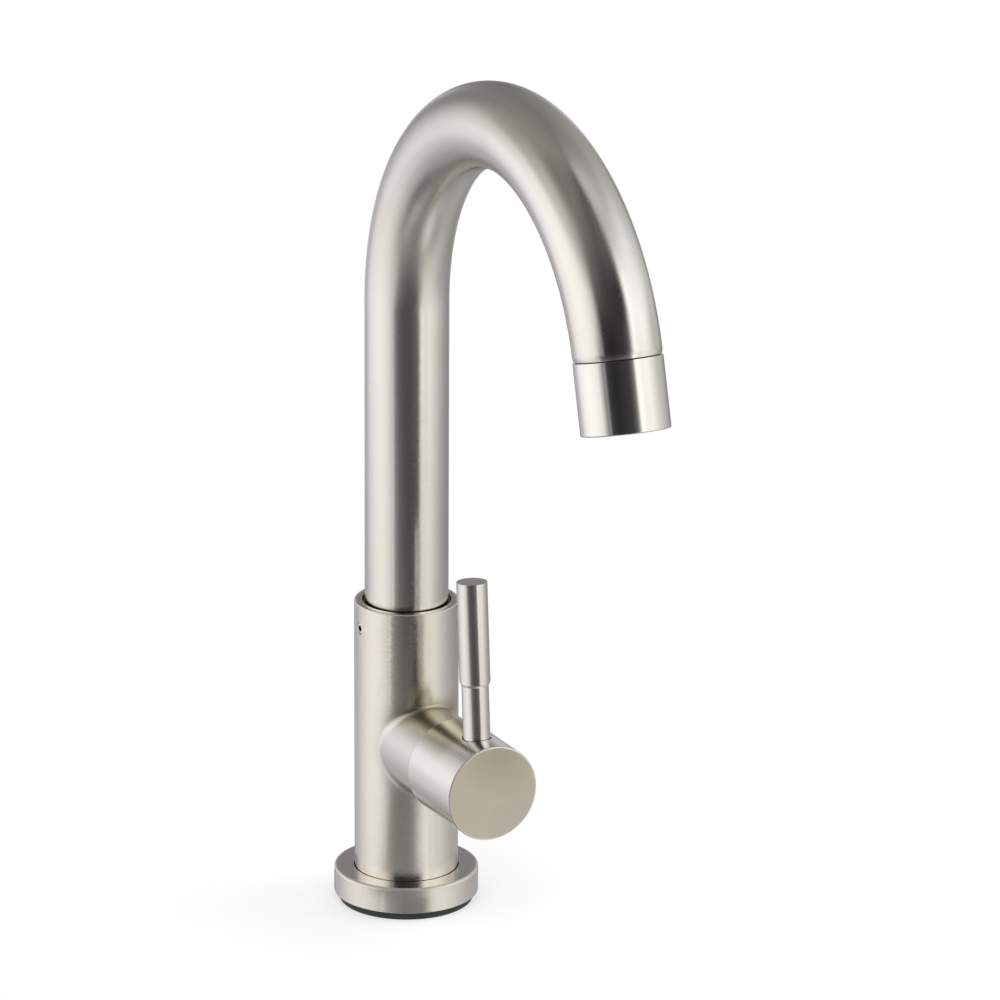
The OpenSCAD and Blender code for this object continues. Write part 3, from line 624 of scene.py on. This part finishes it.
class MIXER_OT_column(MixerOperator):
    """Build the column with its side boss and the ground weld between them"""

    bl_idname = "mixer.column"
    bl_label = "Column"

    def build(self, size):
        bm = bmesh.new()
        boss, turns = boss_frame(size), 192
        turn = bm.verts.layers.float.new("turn")
        lean = bm.verts.layers.float_vector.new("lean")
        weld = bm.verts.layers.float.new("weld")
        bmesh.ops.create_circle(
            bm, cap_ends=False, segments=turns, radius=size.boss_radius,
            matrix=Matrix.Translation((0, 0, size.boss_reach)),
        )
        for vertex in bm.verts:
            vertex[turn] = atan2(vertex.co.x, vertex.co.y)
        mouth = list(bm.edges)

        def pull(edges, ring, *given, ground=0):
            """Draws the next ring of faces out; ring gives each vertex its place and normal."""
            vertices, drawn = draw_out(bm, edges)
            for vertex in vertices:
                vertex.co, vertex[lean] = ring(vertex, *given)
                vertex[weld] = ground
            return drawn

        def boss_ring(vertex, radius, reach, leaning):
            out = Vector((sin(vertex[turn]), cos(vertex[turn]), 0))
            return out * radius + Vector((0, 0, reach)), out * leaning

        def ball_radius(a):
            """Radius of the weld's ball; on top, at angle 0, the weld is ground to a quarter."""
            return size.weld_radius * (1 - 0.75 * max(0, cos(a)) ** 3)

        def ball(a):
            """Middle of the ball that rolls round the corner, touching the boss at angle a."""
            away = size.boss_radius + ball_radius(a)
            side = away * sin(a)
            reach = sqrt((size.column_radius + ball_radius(a)) ** 2 - side**2)
            return Vector((side, away * cos(a), reach))

        def weld_ring(vertex, part):
            a = vertex[turn]
            middle = ball(a)
            to_boss = Vector((-sin(a), -cos(a), 0))
            to_column = -Vector((middle.x, 0, middle.z)).normalized()
            away = to_boss.slerp(to_column, part)
            return middle + ball_radius(a) * away, -away

        def column_ring(vertex, part):
            """From the weld's edge (part 0) to a square over the column's front half (part 1)."""
            a, around = vertex[turn], size.column_radius
            middle = ball(a)
            start = Vector((around * atan2(middle.x, middle.z), middle.y))
            share = (a + pi / 4) % (pi / 2) / (pi / 4) - 1
            corner = Matrix.Rotation(-round(2 * a / pi) * pi / 2, 2)
            corner = corner @ Vector((share, 1)) * (around * pi / 2)
            across, rise = start.lerp(corner, part)
            out = Vector((sin(across / around), 0, cos(across / around)))
            return out * around + Vector((0, rise, 0)), out

        def turned_ring(vertex, radius, height, leaning):
            out = Vector((vertex.co.x, vertex.co.y, 0)).normalized()
            return out * radius + Vector((0, 0, height)), out * leaning

        # the boss's wall, the weld, and the column's front half
        radius, reach = size.boss_radius, size.boss_reach
        for vertex in bm.verts:
            vertex.co, vertex[lean] = boss_ring(vertex, radius - 0.2 * MM, reach, 0)
            vertex[weld] = 1
        edges = pull(mouth, boss_ring, radius - 0.06 * MM, reach - 0.06 * MM, 0, ground=1)
        edges = pull(edges, boss_ring, radius, reach - 0.2 * MM, 1, ground=1)
        for part in range(13):
            edges = pull(edges, weld_ring, part / 12, ground=1)
        for part, ground in (
            (0.07, 0.7), (0.15, 0.3), (0.25, 0.1), (0.36, 0), (0.48, 0), (0.61, 0), (0.74, 0),
            (0.87, 0), (1, 0),
        ):
            edges = pull(edges, column_ring, part, ground=ground)

        # the bore of the boss
        inner = pull(mouth, boss_ring, size.boss_bore + 0.65 * MM, reach, 0)
        for wider, depth in ((0.65, 19.9), (0, 19.9), (0, 9)):
            inner = pull(inner, boss_ring, size.boss_bore + wider * MM, depth * MM, 0)
        bmesh.ops.contextual_create(bm, geom=inner)
        bmesh.ops.transform(bm, matrix=boss, verts=bm.verts)
        for vertex in bm.verts:
            vertex[lean] = boss.to_3x3() @ vertex[lean]

        # the column's back half, drawn round from one side of the square to the other
        slices = 48
        onwards = Matrix.Rotation(pi / slices, 3, "Z")
        side = [e for e in edges if all(v.co.x > size.column_radius - 1e-6 for v in e.verts)]
        for _ in range(slices):
            moved, side = draw_out(bm, side)
            bmesh.ops.rotate(bm, cent=(0, 0, 0), matrix=onwards, verts=moved)
            for vertex in moved:
                vertex[lean] = Vector((vertex.co.x, vertex.co.y, 0)).normalized()
        bmesh.ops.remove_doubles(bm, verts=bm.verts, dist=NEAR)

        # up over the rim into the socket, and down to the foot
        radius, rim, socket, edge = size.column_radius, size.rim, size.socket_radius, size.rim_edge
        top = [e for e in bm.edges if e.is_boundary and e.verts[0].co.z > size.handle_height]
        for ring in (
            (radius, rim - edge, 1), (radius - 0.3 * edge, rim - 0.3 * edge, 0),
            (radius - edge, rim, 0), (socket + 0.4 * edge, rim, 0),
            (socket + 0.12 * edge, rim - 0.12 * edge, 0), (socket, rim - 0.4 * edge, -1),
            (socket, size.socket_floor, -1),
        ):
            top = pull(top, turned_ring, *ring)
        bmesh.ops.contextual_create(bm, geom=top)
        low = [e for e in bm.edges if e.is_boundary]
        low = pull(low, turned_ring, radius, size.foot + 0.2 * MM, 1)
        low = pull(low, turned_ring, radius - 0.2 * MM, size.foot, 0)
        bmesh.ops.contextual_create(bm, geom=low)
        bmesh.ops.recalc_face_normals(bm, faces=bm.faces)
        mesh = new_mesh("column_shell", bm)

        # the swivel screw's hole, and the threaded ports and stud hole in the foot: (x, y, core
        # radius, depth, pitch) in millimetres
        cuts = [("DIFFERENCE", bar(swivel_screw_frame(size), 2.05 * MM, 13 * MM, 20 * MM))]
        for x, y, core, depth, pitch in (
            (-6.5, 4.5, 4.5, 12, 1), (6.5, 4.5, 4.5, 12, 1), (0, -9.5, 3.4, 18, 1.25),
        ):
            place = Matrix.Translation((x * MM, y * MM, size.foot - 1 * MM))
            height, grooves = 0, [(0, 0)]
            while height + pitch < depth + 1:
                grooves += [(core, height), (core + 0.35 * pitch, height + pitch / 2)]
                height += pitch
            grooves += [(core, height), (core, depth + 1), (0, depth + 1 + core * 0.55)]
            thread = lathe(place, 40, [(r * MM, z * MM) for r, z in grooves], {})
            cuts.append(("DIFFERENCE", thread))
        mesh = combine(mesh, cuts)
        known = [Vector(item.vector) for item in mesh.attributes["lean"].data]

        def surface(vertex):
            given = known[vertex.index]
            if given.length > 0.5:
                return [given.normalized()]
            out = Vector((vertex.co.x, vertex.co.y, 0))
            return [out.normalized()] if abs(out.length - radius) < NEAR else []

        true_normals(mesh, surface)
        finishes = ("column", "edge")
        add_piece("column_shell", mesh, "column_group", finishes, "column", False)
        # the rim's outer chamfers take the edge finish with its painted highlight
        for face in mesh.polygons:
            outside = face.center.xy.length > socket + edge
            chamfer = 0.1 < face.normal.z < 0.98 and face.center.z > rim - edge
            face.material_index = int(outside and chamfer)


class MIXER_OT_dome(MixerOperator):
    """Build the thin ball-shaped dome between boss and handle cap"""

    bl_idname = "mixer.dome"
    bl_label = "Dome"

    def build(self, size):
        lift = size.boss_reach - size.pivot_reach
        outer = hypot(size.boss_radius, lift)
        inner = outer - size.dome_wall
        first, last = asin(lift / outer), acos(size.dome_mouth / outer)
        steps = [first + (last - first) * i / 20 for i in range(21)]
        profile = [(outer * cos(a), size.pivot_reach + outer * sin(a)) for a in steps]
        foot = 13 * MM
        first, last = acos(size.dome_mouth / inner), acos(foot / inner)
        steps = [first * (1 - i / 12) + last * i / 12 for i in range(13)]
        profile += [(inner * cos(a), size.pivot_reach + inner * sin(a)) for a in steps]
        profile += [(foot, size.boss_reach)]
        dome = lathe(boss_frame(size), size.turns, profile, {20: (0.15 * MM, 2)})
        add_piece("dome_shell", dome, "column_group", ["cap"], "dome_cover")


class MIXER_OT_cap(MixerOperator):
    """Build the handle cap with its recess for the lever and its screw hole"""

    bl_idname = "mixer.handle_cap"
    bl_label = "Handle cap"

    def build(self, size):
        radius, back, front = size.cap_radius, size.cap_back, size.cap_front
        skirt, hollow, hub = radius - 0.95 * MM, radius - 1.9 * MM, 6.4 * MM
        foot, dome = front - 2.6 * MM, hypot(size.boss_radius, size.boss_reach - size.pivot_reach)
        hub_back = size.pivot_reach + dome + 0.7 * MM
        profile = [
            (0, front), (radius, front), (radius, back), (skirt, back), (skirt, back + 6 * MM),
            (hollow, back + 6 * MM), (hollow, foot), (hub, foot), (hub, hub_back), (0, hub_back),
        ]
        rounded = {1: (size.cap_edge, 4), 2: (0.4 * MM, 3), 3: (0.15 * MM, 2)}
        mesh = new_mesh("cap_shell", lathe(boss_frame(size), 192, profile, rounded))
        lever, screw = lever_frame(size), cap_screw_frame(size)
        key, key_reach = boss_frame(size) @ Matrix.Rotation(pi / 4, 4, "Z"), 3.25 * MM * sqrt(2)
        mesh = combine(mesh, [
            ("UNION", bar(lever, 6.2 * MM, 5 * MM, 15 * MM)),
            ("UNION", bar(screw, 4.5 * MM, 5 * MM, 15 * MM)),
            ("DIFFERENCE", bar(lever, 2.95 * MM, 1 * MM, 20 * MM)),
            ("DIFFERENCE", bar(lever, 4.85 * MM, radius - 3.7 * MM, 20 * MM, 64)),
            ("DIFFERENCE", bar(screw, 2.55 * MM, 1 * MM, 20 * MM)),
            ("DIFFERENCE", bar(key, key_reach, hub_back - 1 * MM, front - 5.5 * MM, 4)),
        ])
        out, axis = Vector((0, -1, 0)), Vector((0, 0, size.handle_height))

        def surface(vertex):
            along = vertex.co.dot(out)
            away = vertex.co - axis - out * along
            if abs(away.length - radius) < NEAR:
                return [away.normalized()]
            return [out] if abs(along - front) < 1e-6 else []

        true_normals(mesh, surface)
        finishes = ("cap", "face", "edge")
        add_piece("cap_shell", mesh, "handle", finishes, "handle_cap", False)
        for face in mesh.polygons:
            along, facing = face.center.dot(out), abs(face.normal.dot(out))
            at_rim = along > front - size.cap_edge or along < back + 0.4 * MM
            if along > front - 1e-6:
                face.material_index = 1
            # the cap's rim chamfers take the edge finish with its painted highlight
            elif at_rim and 0.02 < facing < 0.98:
                face.material_index = 2


class MIXER_OT_lever(MixerOperator):
    """Build the lever's stem and its thicker grip"""

    bl_idname = "mixer.lever"
    bl_label = "Lever"

    def build(self, size):
        place, low, foot = lever_frame(size), 3.8 * MM, size.cap_radius - 3.6 * MM
        stem, pin, pin_top = size.stem_radius, 2.9 * MM, size.grip_top - 8.2 * MM
        grip_foot, top = size.grip_foot, size.grip_top
        profile = [
            (0, low), (pin, low), (pin, foot), (stem, foot), (stem, grip_foot), (pin, grip_foot),
            (pin, pin_top), (0, pin_top),
        ]
        made = lathe(place, 96, profile, {3: (0.3 * MM, 2), 6: (0.4 * MM, 2)})
        add_piece("stem", made, "handle", ["grip"], "lever_stem")
        grip, bore, bore_top = size.grip_radius, 2.95 * MM, top - 6.5 * MM
        profile = [
            (0, top), (0, bore_top), (bore, bore_top), (bore, grip_foot),
            (stem + 0.05 * MM, grip_foot), (grip, grip_foot + 1.3 * MM), (grip, top), (0, top),
        ]
        made = lathe(place, 96, profile, {6: (0.12 * MM, 2)})
        add_piece("grip", made, "handle", ["grip"], "lever_grip")


class MIXER_OT_spout(MixerOperator):
    """Build the bent spout tube with its wall"""

    bl_idname = "mixer.spout"
    bl_label = "Spout tube"

    def build(self, size):
        bm = bmesh.new()
        turn = bm.verts.layers.float.new("turn")
        along = bm.verts.layers.float.new("along")
        rise, bend = size.riser_top - size.tube_foot, size.bend_angle
        stations = []
        for i in range(12):
            up = rise * i / 12
            stations.append((Matrix.Translation((0, 0, size.tube_foot + up)), up))
        for i in range(133):
            at = rise + size.bend_radius * bend * i / 132
            stations.append((bend_frame(size, bend * i / 132), at))
        # the end is worked in a little over its last two millimetres
        last, at = stations.pop()
        rings = [(place, size.tube_radius, at) for place, at in stations]
        for i in range(9):
            before, worked = 2 * MM * (1 - i / 8), 0.3 * MM * (i / 8) ** 2
            place = last @ Matrix.Translation((0, 0, -before))
            rings.append((place, size.tube_radius - worked, at - before))
        stations[-1] = (last, at)
        rings += [(place, size.tube_bore, at) for place, at in reversed(stations)]
        bmesh.ops.create_circle(
            bm, cap_ends=False, segments=112, radius=size.tube_radius, matrix=rings[0][0]
        )
        for vertex in bm.verts:
            vertex[turn] = atan2(vertex.co.y, vertex.co.x)
        first = edges = list(bm.edges)
        for (old, old_radius, _), (new, radius, at) in zip(rings, rings[1:]):
            moved, edges = draw_out(bm, edges)
            scale = radius / old_radius
            step = new @ Matrix.Diagonal((scale, scale, 1, 1)) @ old.inverted()
            bmesh.ops.transform(bm, matrix=step, verts=moved)
            for vertex in moved:
                vertex[along] = at
        bmesh.ops.bridge_loops(bm, edges=first + edges)
        bmesh.ops.recalc_face_normals(bm, faces=bm.faces)
        # the map runs round the tube in u and along it in v, with its grain drawn out round it
        grain = bm.loops.layers.uv.new("along_tube")
        for face in bm.faces:
            turns = [loop.vert[turn] for loop in face.loops]
            wrapped = max(turns) - min(turns) > pi
            for loop, a in zip(face.loops, turns):
                a += tau if wrapped and a < 0 else 0
                loop[grain].uv = (a * size.tube_radius * ROUND, loop.vert[along] * ACROSS)
        add_piece("tube", bm, "spout", ["tube"], "spout_tube")


class MIXER_OT_collar(MixerOperator):
    """Build the bright aerator collar at the end of the spout"""

    bl_idname = "mixer.collar"
    bl_label = "Aerator collar"

    def build(self, size):
        outer, top, low = size.collar_radius, size.seam, size.collar_length
        lip, bore, groove = 10.8 * MM, 11.6 * MM, 12.05 * MM
        lip_top, bore_top = low - 1.5 * MM, 9.6 * MM
        profile = [
            (outer, top), (outer, low), (lip, low), (lip, lip_top), (bore, lip_top),
            (bore, bore_top), (groove, bore_top), (groove, top),
        ]
        rounded = {0: (0.15 * MM, 2), 1: (0.5 * MM, 4), 2: (0.3 * MM, 3)}
        collar = lathe(bend_frame(size, size.bend_angle), 160, profile, rounded)
        add_piece("collar", collar, "spout", ["collar"], "aerator_collar")


class MIXER_OT_screws(MixerOperator):
    """Build the two socket set screws: one holds the spout, one the handle"""

    bl_idname = "mixer.screws"
    bl_label = "Set screws"

    def build(self, size):
        place, end = swivel_screw_frame(size), size.column_radius - 0.2 * MM
        point, thread, low, foot = 1.25 * MM, 2 * MM, 13.5 * MM, 15.2 * MM
        profile = [(0, low), (point, low), (point, foot), (thread, foot), (thread, end), (0, end)]
        bm = lathe(place, 48, profile, {1: (0.3 * MM, 2), 3: (0.2 * MM, 2), 4: (0.45 * MM, 4)})
        names = ("spout_set_screw", "swivel_screw", "column_group")
        self.finish_screw(*names, bm, place, 1 * MM, 1.4 * MM, end)
        place, foot, end = cap_screw_frame(size), 3.22 * MM, 12.22 * MM
        profile = [(0, foot), (2.5 * MM, foot), (2.5 * MM, end), (0, end)]
        bm = lathe(place, 48, profile, {1: (0.6 * MM, 3), 2: (0.3 * MM, 3)})
        names = ("handle_set_screw", "cap_screw", "handle")
        self.finish_screw(*names, bm, place, 1.25 * MM, 3 * MM, end)

    def finish_screw(self, name, node, body, bm, place, half_width, depth, end):
        """Cuts the hexagon socket into a turned screw, with painted shade inside the socket."""
        reach = half_width / cos(pi / 6)
        socket = bar(place, reach, end - depth, end + 1 * MM, 6)
        mesh = combine(new_mesh("screw", bm), [("DIFFERENCE", socket)])
        add_piece(name, mesh, body, ("screw", "painted_shade"), node)
        for face in mesh.polygons:
            x, y, z = place.inverted() @ face.center
            inside = hypot(x, y) < reach and end - 1.05 * depth < z < end - 0.02 * MM
            face.material_index = int(inside)


class MIXER_OT_inner(MixerOperator):
    """Give the CAD parts that stay as they are their finishes"""

    bl_idname = "mixer.inner_parts"
    bl_label = "Inner parts"

    finishes = {
        "rubber": ["ring_seal", "cartridge_seals", "spout_seals", "aerator_washer"],
        "white": [
            "thrust_washer", "cartridge_base", "cartridge_housing", "slip_rings", "aerator_cage",
        ],
        "grey": ["spindle_carrier", "disc_slider"],
        "ceramic": ["fixed_disc", "moving_disc"],
        "brass": ["cartridge_nut", "spindle"],
        # painted shade: the outlet insert near black, standing for the shadow in the aerator's seam
        "painted_shade": ["outlet_insert"],
        # painted shade: the bush darkened for the shadow in the gap round the tube
        "bush": ["spout_bush"],
        "screw": ["pivot_pin", "aerator_screens"],
    }

    def build(self, size):
        for finish, nodes in self.finishes.items():
            for node in nodes:
                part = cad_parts[node].data
                part.materials.clear()
                part.materials.append(MadeFinishes.get(finish))


class MIXER_OT_stage(MixerOperator):
    """Build the pale floor, the light tent, the soft lamps and the camera"""

    bl_idname = "mixer.stage"
    bl_label = "Stage"

    def build(self, size):
        stage = bpy.context.scene.mixer_stage
        self.camera(stage)
        self.world(stage)
        self.floor()
        self.tent(stage)
        self.lamps(stage)
        bpy.context.scene.view_settings.view_transform = "Standard"

    def camera(self, stage):
        forward = Vector(CAMERA_FORWARD)
        right = forward.cross(Vector((0, 0, 1))).normalized()
        up = right.cross(forward)
        tilt_right = right * cos(stage.roll) + up * sin(stage.roll)
        tilt_up = up * cos(stage.roll) - right * sin(stage.roll)
        axes = Matrix((tilt_right, tilt_up, -forward)).transposed().to_4x4()
        camera = put("camera", bpy.data.cameras.new("camera"))
        camera.data.lens, camera.data.sensor_width = stage.lens, 36
        camera.matrix_world = Matrix.Translation(CAMERA_PLACE) @ axes
        bpy.context.scene.camera = camera

    def seen_white(self, finish, otherwise):
        """1 for the camera and for rays off or through gloss, and another level elsewhere."""
        seen = finish.ray("Camera").math("MAXIMUM", finish.ray("Glossy"))
        seen = seen.math("MAXIMUM", finish.ray("Transmission"))
        return otherwise + (1 - otherwise) * seen

    def world(self, stage):
        finish = Finish(bpy.data.worlds.new("white_room"))
        inputs = {"Color": (1, 1, 1, 1), "Strength": self.seen_white(finish, stage.ambient)}
        background = finish.node("ShaderNodeBackground", None, inputs)
        bpy.context.scene.world = finish.surface(background)

    def round_by(self, finish, place):
        """How far round a place lies, as a share of a turn with 0.5 towards the camera."""
        inputs = {"Vector": place, "Rotation": (0, 0, CAMERA_TURN)}
        turned = finish.node("ShaderNodeMapping", None, inputs)
        return finish.axis(turned, 0).math("ARCTAN2", 0 - finish.axis(turned, 1)) / tau + 0.5

    def row(self, finish, round_by, stops):
        """A level that changes round the object."""
        stops = [((azimuth + 180) / 360, level) for azimuth, level in stops]
        return finish.node("ShaderNodeValToRGB", {"stops": stops}, {0: round_by})

    def floor(self):
        bm = bmesh.new()
        bmesh.ops.create_circle(bm, cap_ends=True, segments=96, radius=6)
        floor = put("floor", new_mesh("floor", bm))
        finish = Finish(bpy.data.materials.new("pale_floor"))
        place = finish.place()
        away = finish.distance(place, (0, 0, 0))
        colour = finish.between((0.93,) * 3, (0.95,) * 3, finish.noise(place, 90, 3))
        matt = finish.node("ShaderNodeBsdfDiffuse", None, {"Color": colour})
        white = finish.emission(self.seen_white(finish, 0.6))
        seen = finish.either(finish.step(away, -0.12, 0.16), matt, white)
        # gloss looks through the floor at the tent, past a faint veil round the foot and, farther
        # out, a band that the low column shows, lit by direction as the tent is
        veil = finish.emission(0.10 * (1 - finish.step(away, 0.05, 0.4)))
        clear = finish.node("ShaderNodeBsdfTransparent")
        faint = finish.node("ShaderNodeAddShader", None, {0: clear, 1: veil})
        round_by = self.round_by(finish, place)
        lit = finish.emission(self.row(finish, round_by, self.near_cloth))
        near = finish.band(away, 0.046, 0.057, 0.14, 0.22)
        near = near * finish.band(round_by, 0.32, 0.37, 0.66, 0.71)
        faint = finish.either(near, faint, lit)
        mixed = finish.either(finish.ray("Glossy"), seen, faint)
        floor.data.materials.append(finish.surface(mixed))

    # how bright the near band on the floor is: ((degrees to the picture's right, level), ...)
    near_cloth = (
        (-78, 0.93), (-54, 0.8), (-40, 0.55), (-36, 0.37), (-28, 0.27), (-18, 0.22), (4, 0.23),
        (14, 0.28), (30, 0.71), (32, 0.9), (36, 0.67), (38, 0.79), (40, 1.1), (46, 0.72),
        (52, 0.83), (68, 0.63), (86, 0.33),
    )

    # how bright the cloth is: (degrees up, ((degrees to the picture's right, level), ...)), ...
    cloth = (
        (-56, (
            (-180, 0.15), (-172, 0.016), (-166, 0.005), (-132, 0.16), (-94, 0.011), (-86, 0.051),
            (-76, 0.013), (-60, 0.024), (-50, 0.050), (-48, 0.057), (-28, 0.34), (18, 0.064),
            (50, 0.026), (116, 0.39), (160, 0.26), (180, 0.15),
        )),
        (-38, (
            (-180, 0.30), (-172, 0.011), (-166, 0.003), (-160, 0.030), (-150, 0.23), (-88, 0.57),
            (-28, 0.21), (-4, 0.12), (28, 0.23), (40, 0.61), (48, 0.69), (68, 0.69), (128, 0.37),
            (166, 0.37), (180, 0.30),
        )),
        (-22, (
            (-180, 0.27), (-174, 0.049), (-168, 0.014), (-164, 0.044), (-156, 0.55), (-142, 0.42),
            (-98, 0.90), (-68, 0.99), (-46, 0.80), (-44, 0.67), (-40, 0.97), (-36, 0.51),
            (-30, 0.29), (-20, 0.16), (-2, 0.073), (28, 0.021), (30, 0.021), (36, 0.076),
            (38, 0.22), (40, 0.63), (58, 0.82), (68, 0.78), (100, 0.46), (126, 0.34), (150, 0.28),
            (168, 0.33), (180, 0.27),
        )),
        (-8, (
            (-180, 0.37), (-170, 0.75), (-162, 0.56), (-142, 0.51), (-118, 0.99), (-82, 1.11),
            (-66, 1.00), (-52, 0.81), (-40, 0.40), (-36, 0.11), (-30, 0.071), (-10, 0.060),
            (10, 0.10), (24, 0.21), (30, 0.14), (36, 0.41), (38, 0.78), (40, 1.82), (42, 1.70),
            (48, 0.89), (50, 0.87), (68, 1.10), (118, 0.47), (150, 0.26), (160, 0.38), (168, 0.60),
            (180, 0.37),
        )),
        (6, (
            (-180, 0.29), (-174, 0.26), (-170, 0.44), (-166, 0.94), (-164, 0.54), (-162, 0.28),
            (-158, 0.28), (-142, 0.46), (-118, 1.02), (-96, 1.16), (-66, 1.11), (-50, 0.93),
            (-36, 0.22), (-32, 0.32), (-28, 0.092), (-26, 0.045), (-10, 0.025), (22, 0.050),
            (30, 0.14), (32, 0.21), (36, 0.49), (40, 1.17), (56, 0.98), (72, 0.99), (108, 0.54),
            (134, 0.62), (156, 0.22), (162, 0.30), (168, 0.82), (180, 0.29),
        )),
        (20, (
            (-180, 0.16), (-166, 0.25), (-144, 0.24), (-126, 0.72), (-112, 0.67), (-98, 1.05),
            (-80, 1.12), (-56, 0.98), (-42, 0.78), (-34, 0.30), (-28, 0.032), (-8, 0.018),
            (22, 0.047), (30, 0.11), (36, 0.20), (40, 1.00), (48, 1.35), (50, 1.16), (56, 1.07),
            (72, 1.20), (86, 1.12), (144, 0.45), (172, 0.27), (180, 0.16),
        )),
        (36, (
            (-180, 0.24), (-168, 0.20), (-156, 0.24), (-142, 0.21), (-132, 0.33), (-114, 0.35),
            (-80, 0.62), (-70, 0.66), (-42, 0.37), (-36, 0.19), (-12, 0.078), (0, 0.054),
            (32, 0.025), (38, 0.053), (40, 0.18), (48, 1.42), (60, 1.17), (100, 0.95), (132, 0.48),
            (168, 0.26), (180, 0.24),
        )),
        (60, (
            (-180, 0.21), (-100, 0.30), (-76, 0.20), (-46, 0.23), (4, 0.11), (14, 0.15), (22, 0.12),
            (32, 0.17), (38, 0.24), (48, 0.53), (86, 0.60), (136, 0.32), (180, 0.21),
        )),
    )

    def tent(self, stage):
        """A round tent of lit cloth that only the gloss of the metal shows: bright sides, and a
        dark gap in front where the camera looks in."""
        bm = bmesh.new()
        centre = Matrix.Translation(TENT_CENTRE)
        bmesh.ops.create_icosphere(bm, subdivisions=4, radius=stage.tent_radius, matrix=centre)
        bmesh.ops.reverse_faces(bm, faces=bm.faces)
        tent = put("light_tent", new_mesh("light_tent", bm))
        tent.visible_camera = tent.visible_diffuse = tent.visible_shadow = False
        tent.visible_transmission = tent.visible_volume_scatter = False
        finish = Finish(bpy.data.materials.new("tent_cloth"))
        inputs = {0: finish.place(), 1: TENT_CENTRE}
        place = finish.node("ShaderNodeVectorMath", {"operation": "SUBTRACT"}, inputs)
        round_by = self.round_by(finish, place)
        around = round_by * 360 - 180
        rise = (finish.axis(place, 2) / stage.tent_radius).math("ARCSINE") * (180 / pi)

        (below, stops), *above = self.cloth
        light = self.row(finish, round_by, stops)
        for height, stops in above:
            part = finish.step(rise, below, height)
            light = light * (1 - part) + self.row(finish, round_by, stops) * part
            below = height
        # folds in the low cloth on the right
        across = finish.node("ShaderNodeCombineXYZ", None, {0: round_by})
        folds = finish.noise(across, 95, 2, 0.6) - 0.5
        right = finish.band(round_by, 0.57, 0.60, 0.70, 0.78)
        light = light * (1 + 0.5 * right * (1 - finish.step(rise, -19, -13)) * folds)
        # a thin cream line and an olive border at the low right edge of the gap
        low = finish.band(rise, -28, -23, -19, -16)
        line = finish.band(around, 22.5, 24.5, 26, 28) * finish.step(rise, -24, -21)
        light = light + 0.13 * line * low
        border = finish.band(around, 22, 27, 38, 44) * low
        # a little colour in the cloth: warm overhead and low on the right, cool behind on the left
        # and high on the right
        behind = (1 - finish.step(around, -120, -90)) * (1 - finish.step(rise, -5, 30))
        warm = finish.band(around, 22, 30, 60, 95) * (1 - finish.step(rise, -14, 2))
        cool = finish.band(around, 38, 60, 120, 150) * finish.step(rise, 12, 26)
        colour = finish.between((1, 1, 1), (1, 0.985, 0.955), finish.step(rise, 18, 50))
        for part, tint in (
            (behind, (0.99, 0.99, 1.04)), (warm, (1.005, 1, 0.945)), (cool, (0.97, 1, 1.04)),
        ):
            colour = finish.between(colour, tint, part, "MULTIPLY")
        colour = finish.between(colour, (1, 1, 0.82), border)
        tent.data.materials.append(finish.surface(finish.emission(light, colour)))

    def lamps(self, stage):
        for name, location, power in (
            ("key_lamp", (-0.9, -1.1, 1.5), stage.lamp),
            ("fill_lamp", (1.1, -0.5, 1.2), stage.lamp * 0.7),
        ):
            data = bpy.data.lights.new(name, "AREA")
            data.shape, data.size, data.energy = "DISK", 1.2, power
            lamp = put(name, data)
            lamp.location = location
            aim = LAMP_TARGET - lamp.location
            lamp.rotation_euler = aim.to_track_quat("-Z", "Y").to_euler()
            lamp.visible_glossy = False


STEPS = (
    MIXER_OT_base, MIXER_OT_column, MIXER_OT_dome, MIXER_OT_cap, MIXER_OT_lever, MIXER_OT_spout,
    MIXER_OT_collar, MIXER_OT_screws, MIXER_OT_inner, MIXER_OT_stage,
)


class MIXER_PT_panel(bpy.types.Panel):
    """Lists the steps that build the mixer"""

    bl_label = "Basin mixer"
    bl_idname = "MIXER_PT_panel"
    bl_space_type = "VIEW_3D"
    bl_region_type = "UI"
    bl_category = "Mixer"

    def draw(self, context):
        for step in STEPS:
            self.layout.operator(step.bl_idname)
        scene = context.scene
        for group in (scene.mixer_sizes, scene.mixer_finishes, scene.mixer_stage):
            box = self.layout.box()
            for name in group.__annotations__:
                box.prop(group, name)


CLASSES = (MixerSizes, MixerFinishes, MixerStage, *STEPS, MIXER_PT_panel)


def register():
    for cls in CLASSES:
        bpy.utils.register_class(cls)
    bpy.types.Scene.mixer_sizes = PointerProperty(type=MixerSizes)
    bpy.types.Scene.mixer_finishes = PointerProperty(type=MixerFinishes)
    bpy.types.Scene.mixer_stage = PointerProperty(type=MixerStage)


def unregister():
    del bpy.types.Scene.mixer_sizes, bpy.types.Scene.mixer_finishes, bpy.types.Scene.mixer_stage
    for cls in reversed(CLASSES):
        bpy.utils.unregister_class(cls)


def main():
    register()
    for step in STEPS:
        group, name = step.bl_idname.split(".")
        getattr(getattr(bpy.ops, group), name)()
    bpy.context.view_layer.update()


if __name__ == "__main__":
    main()
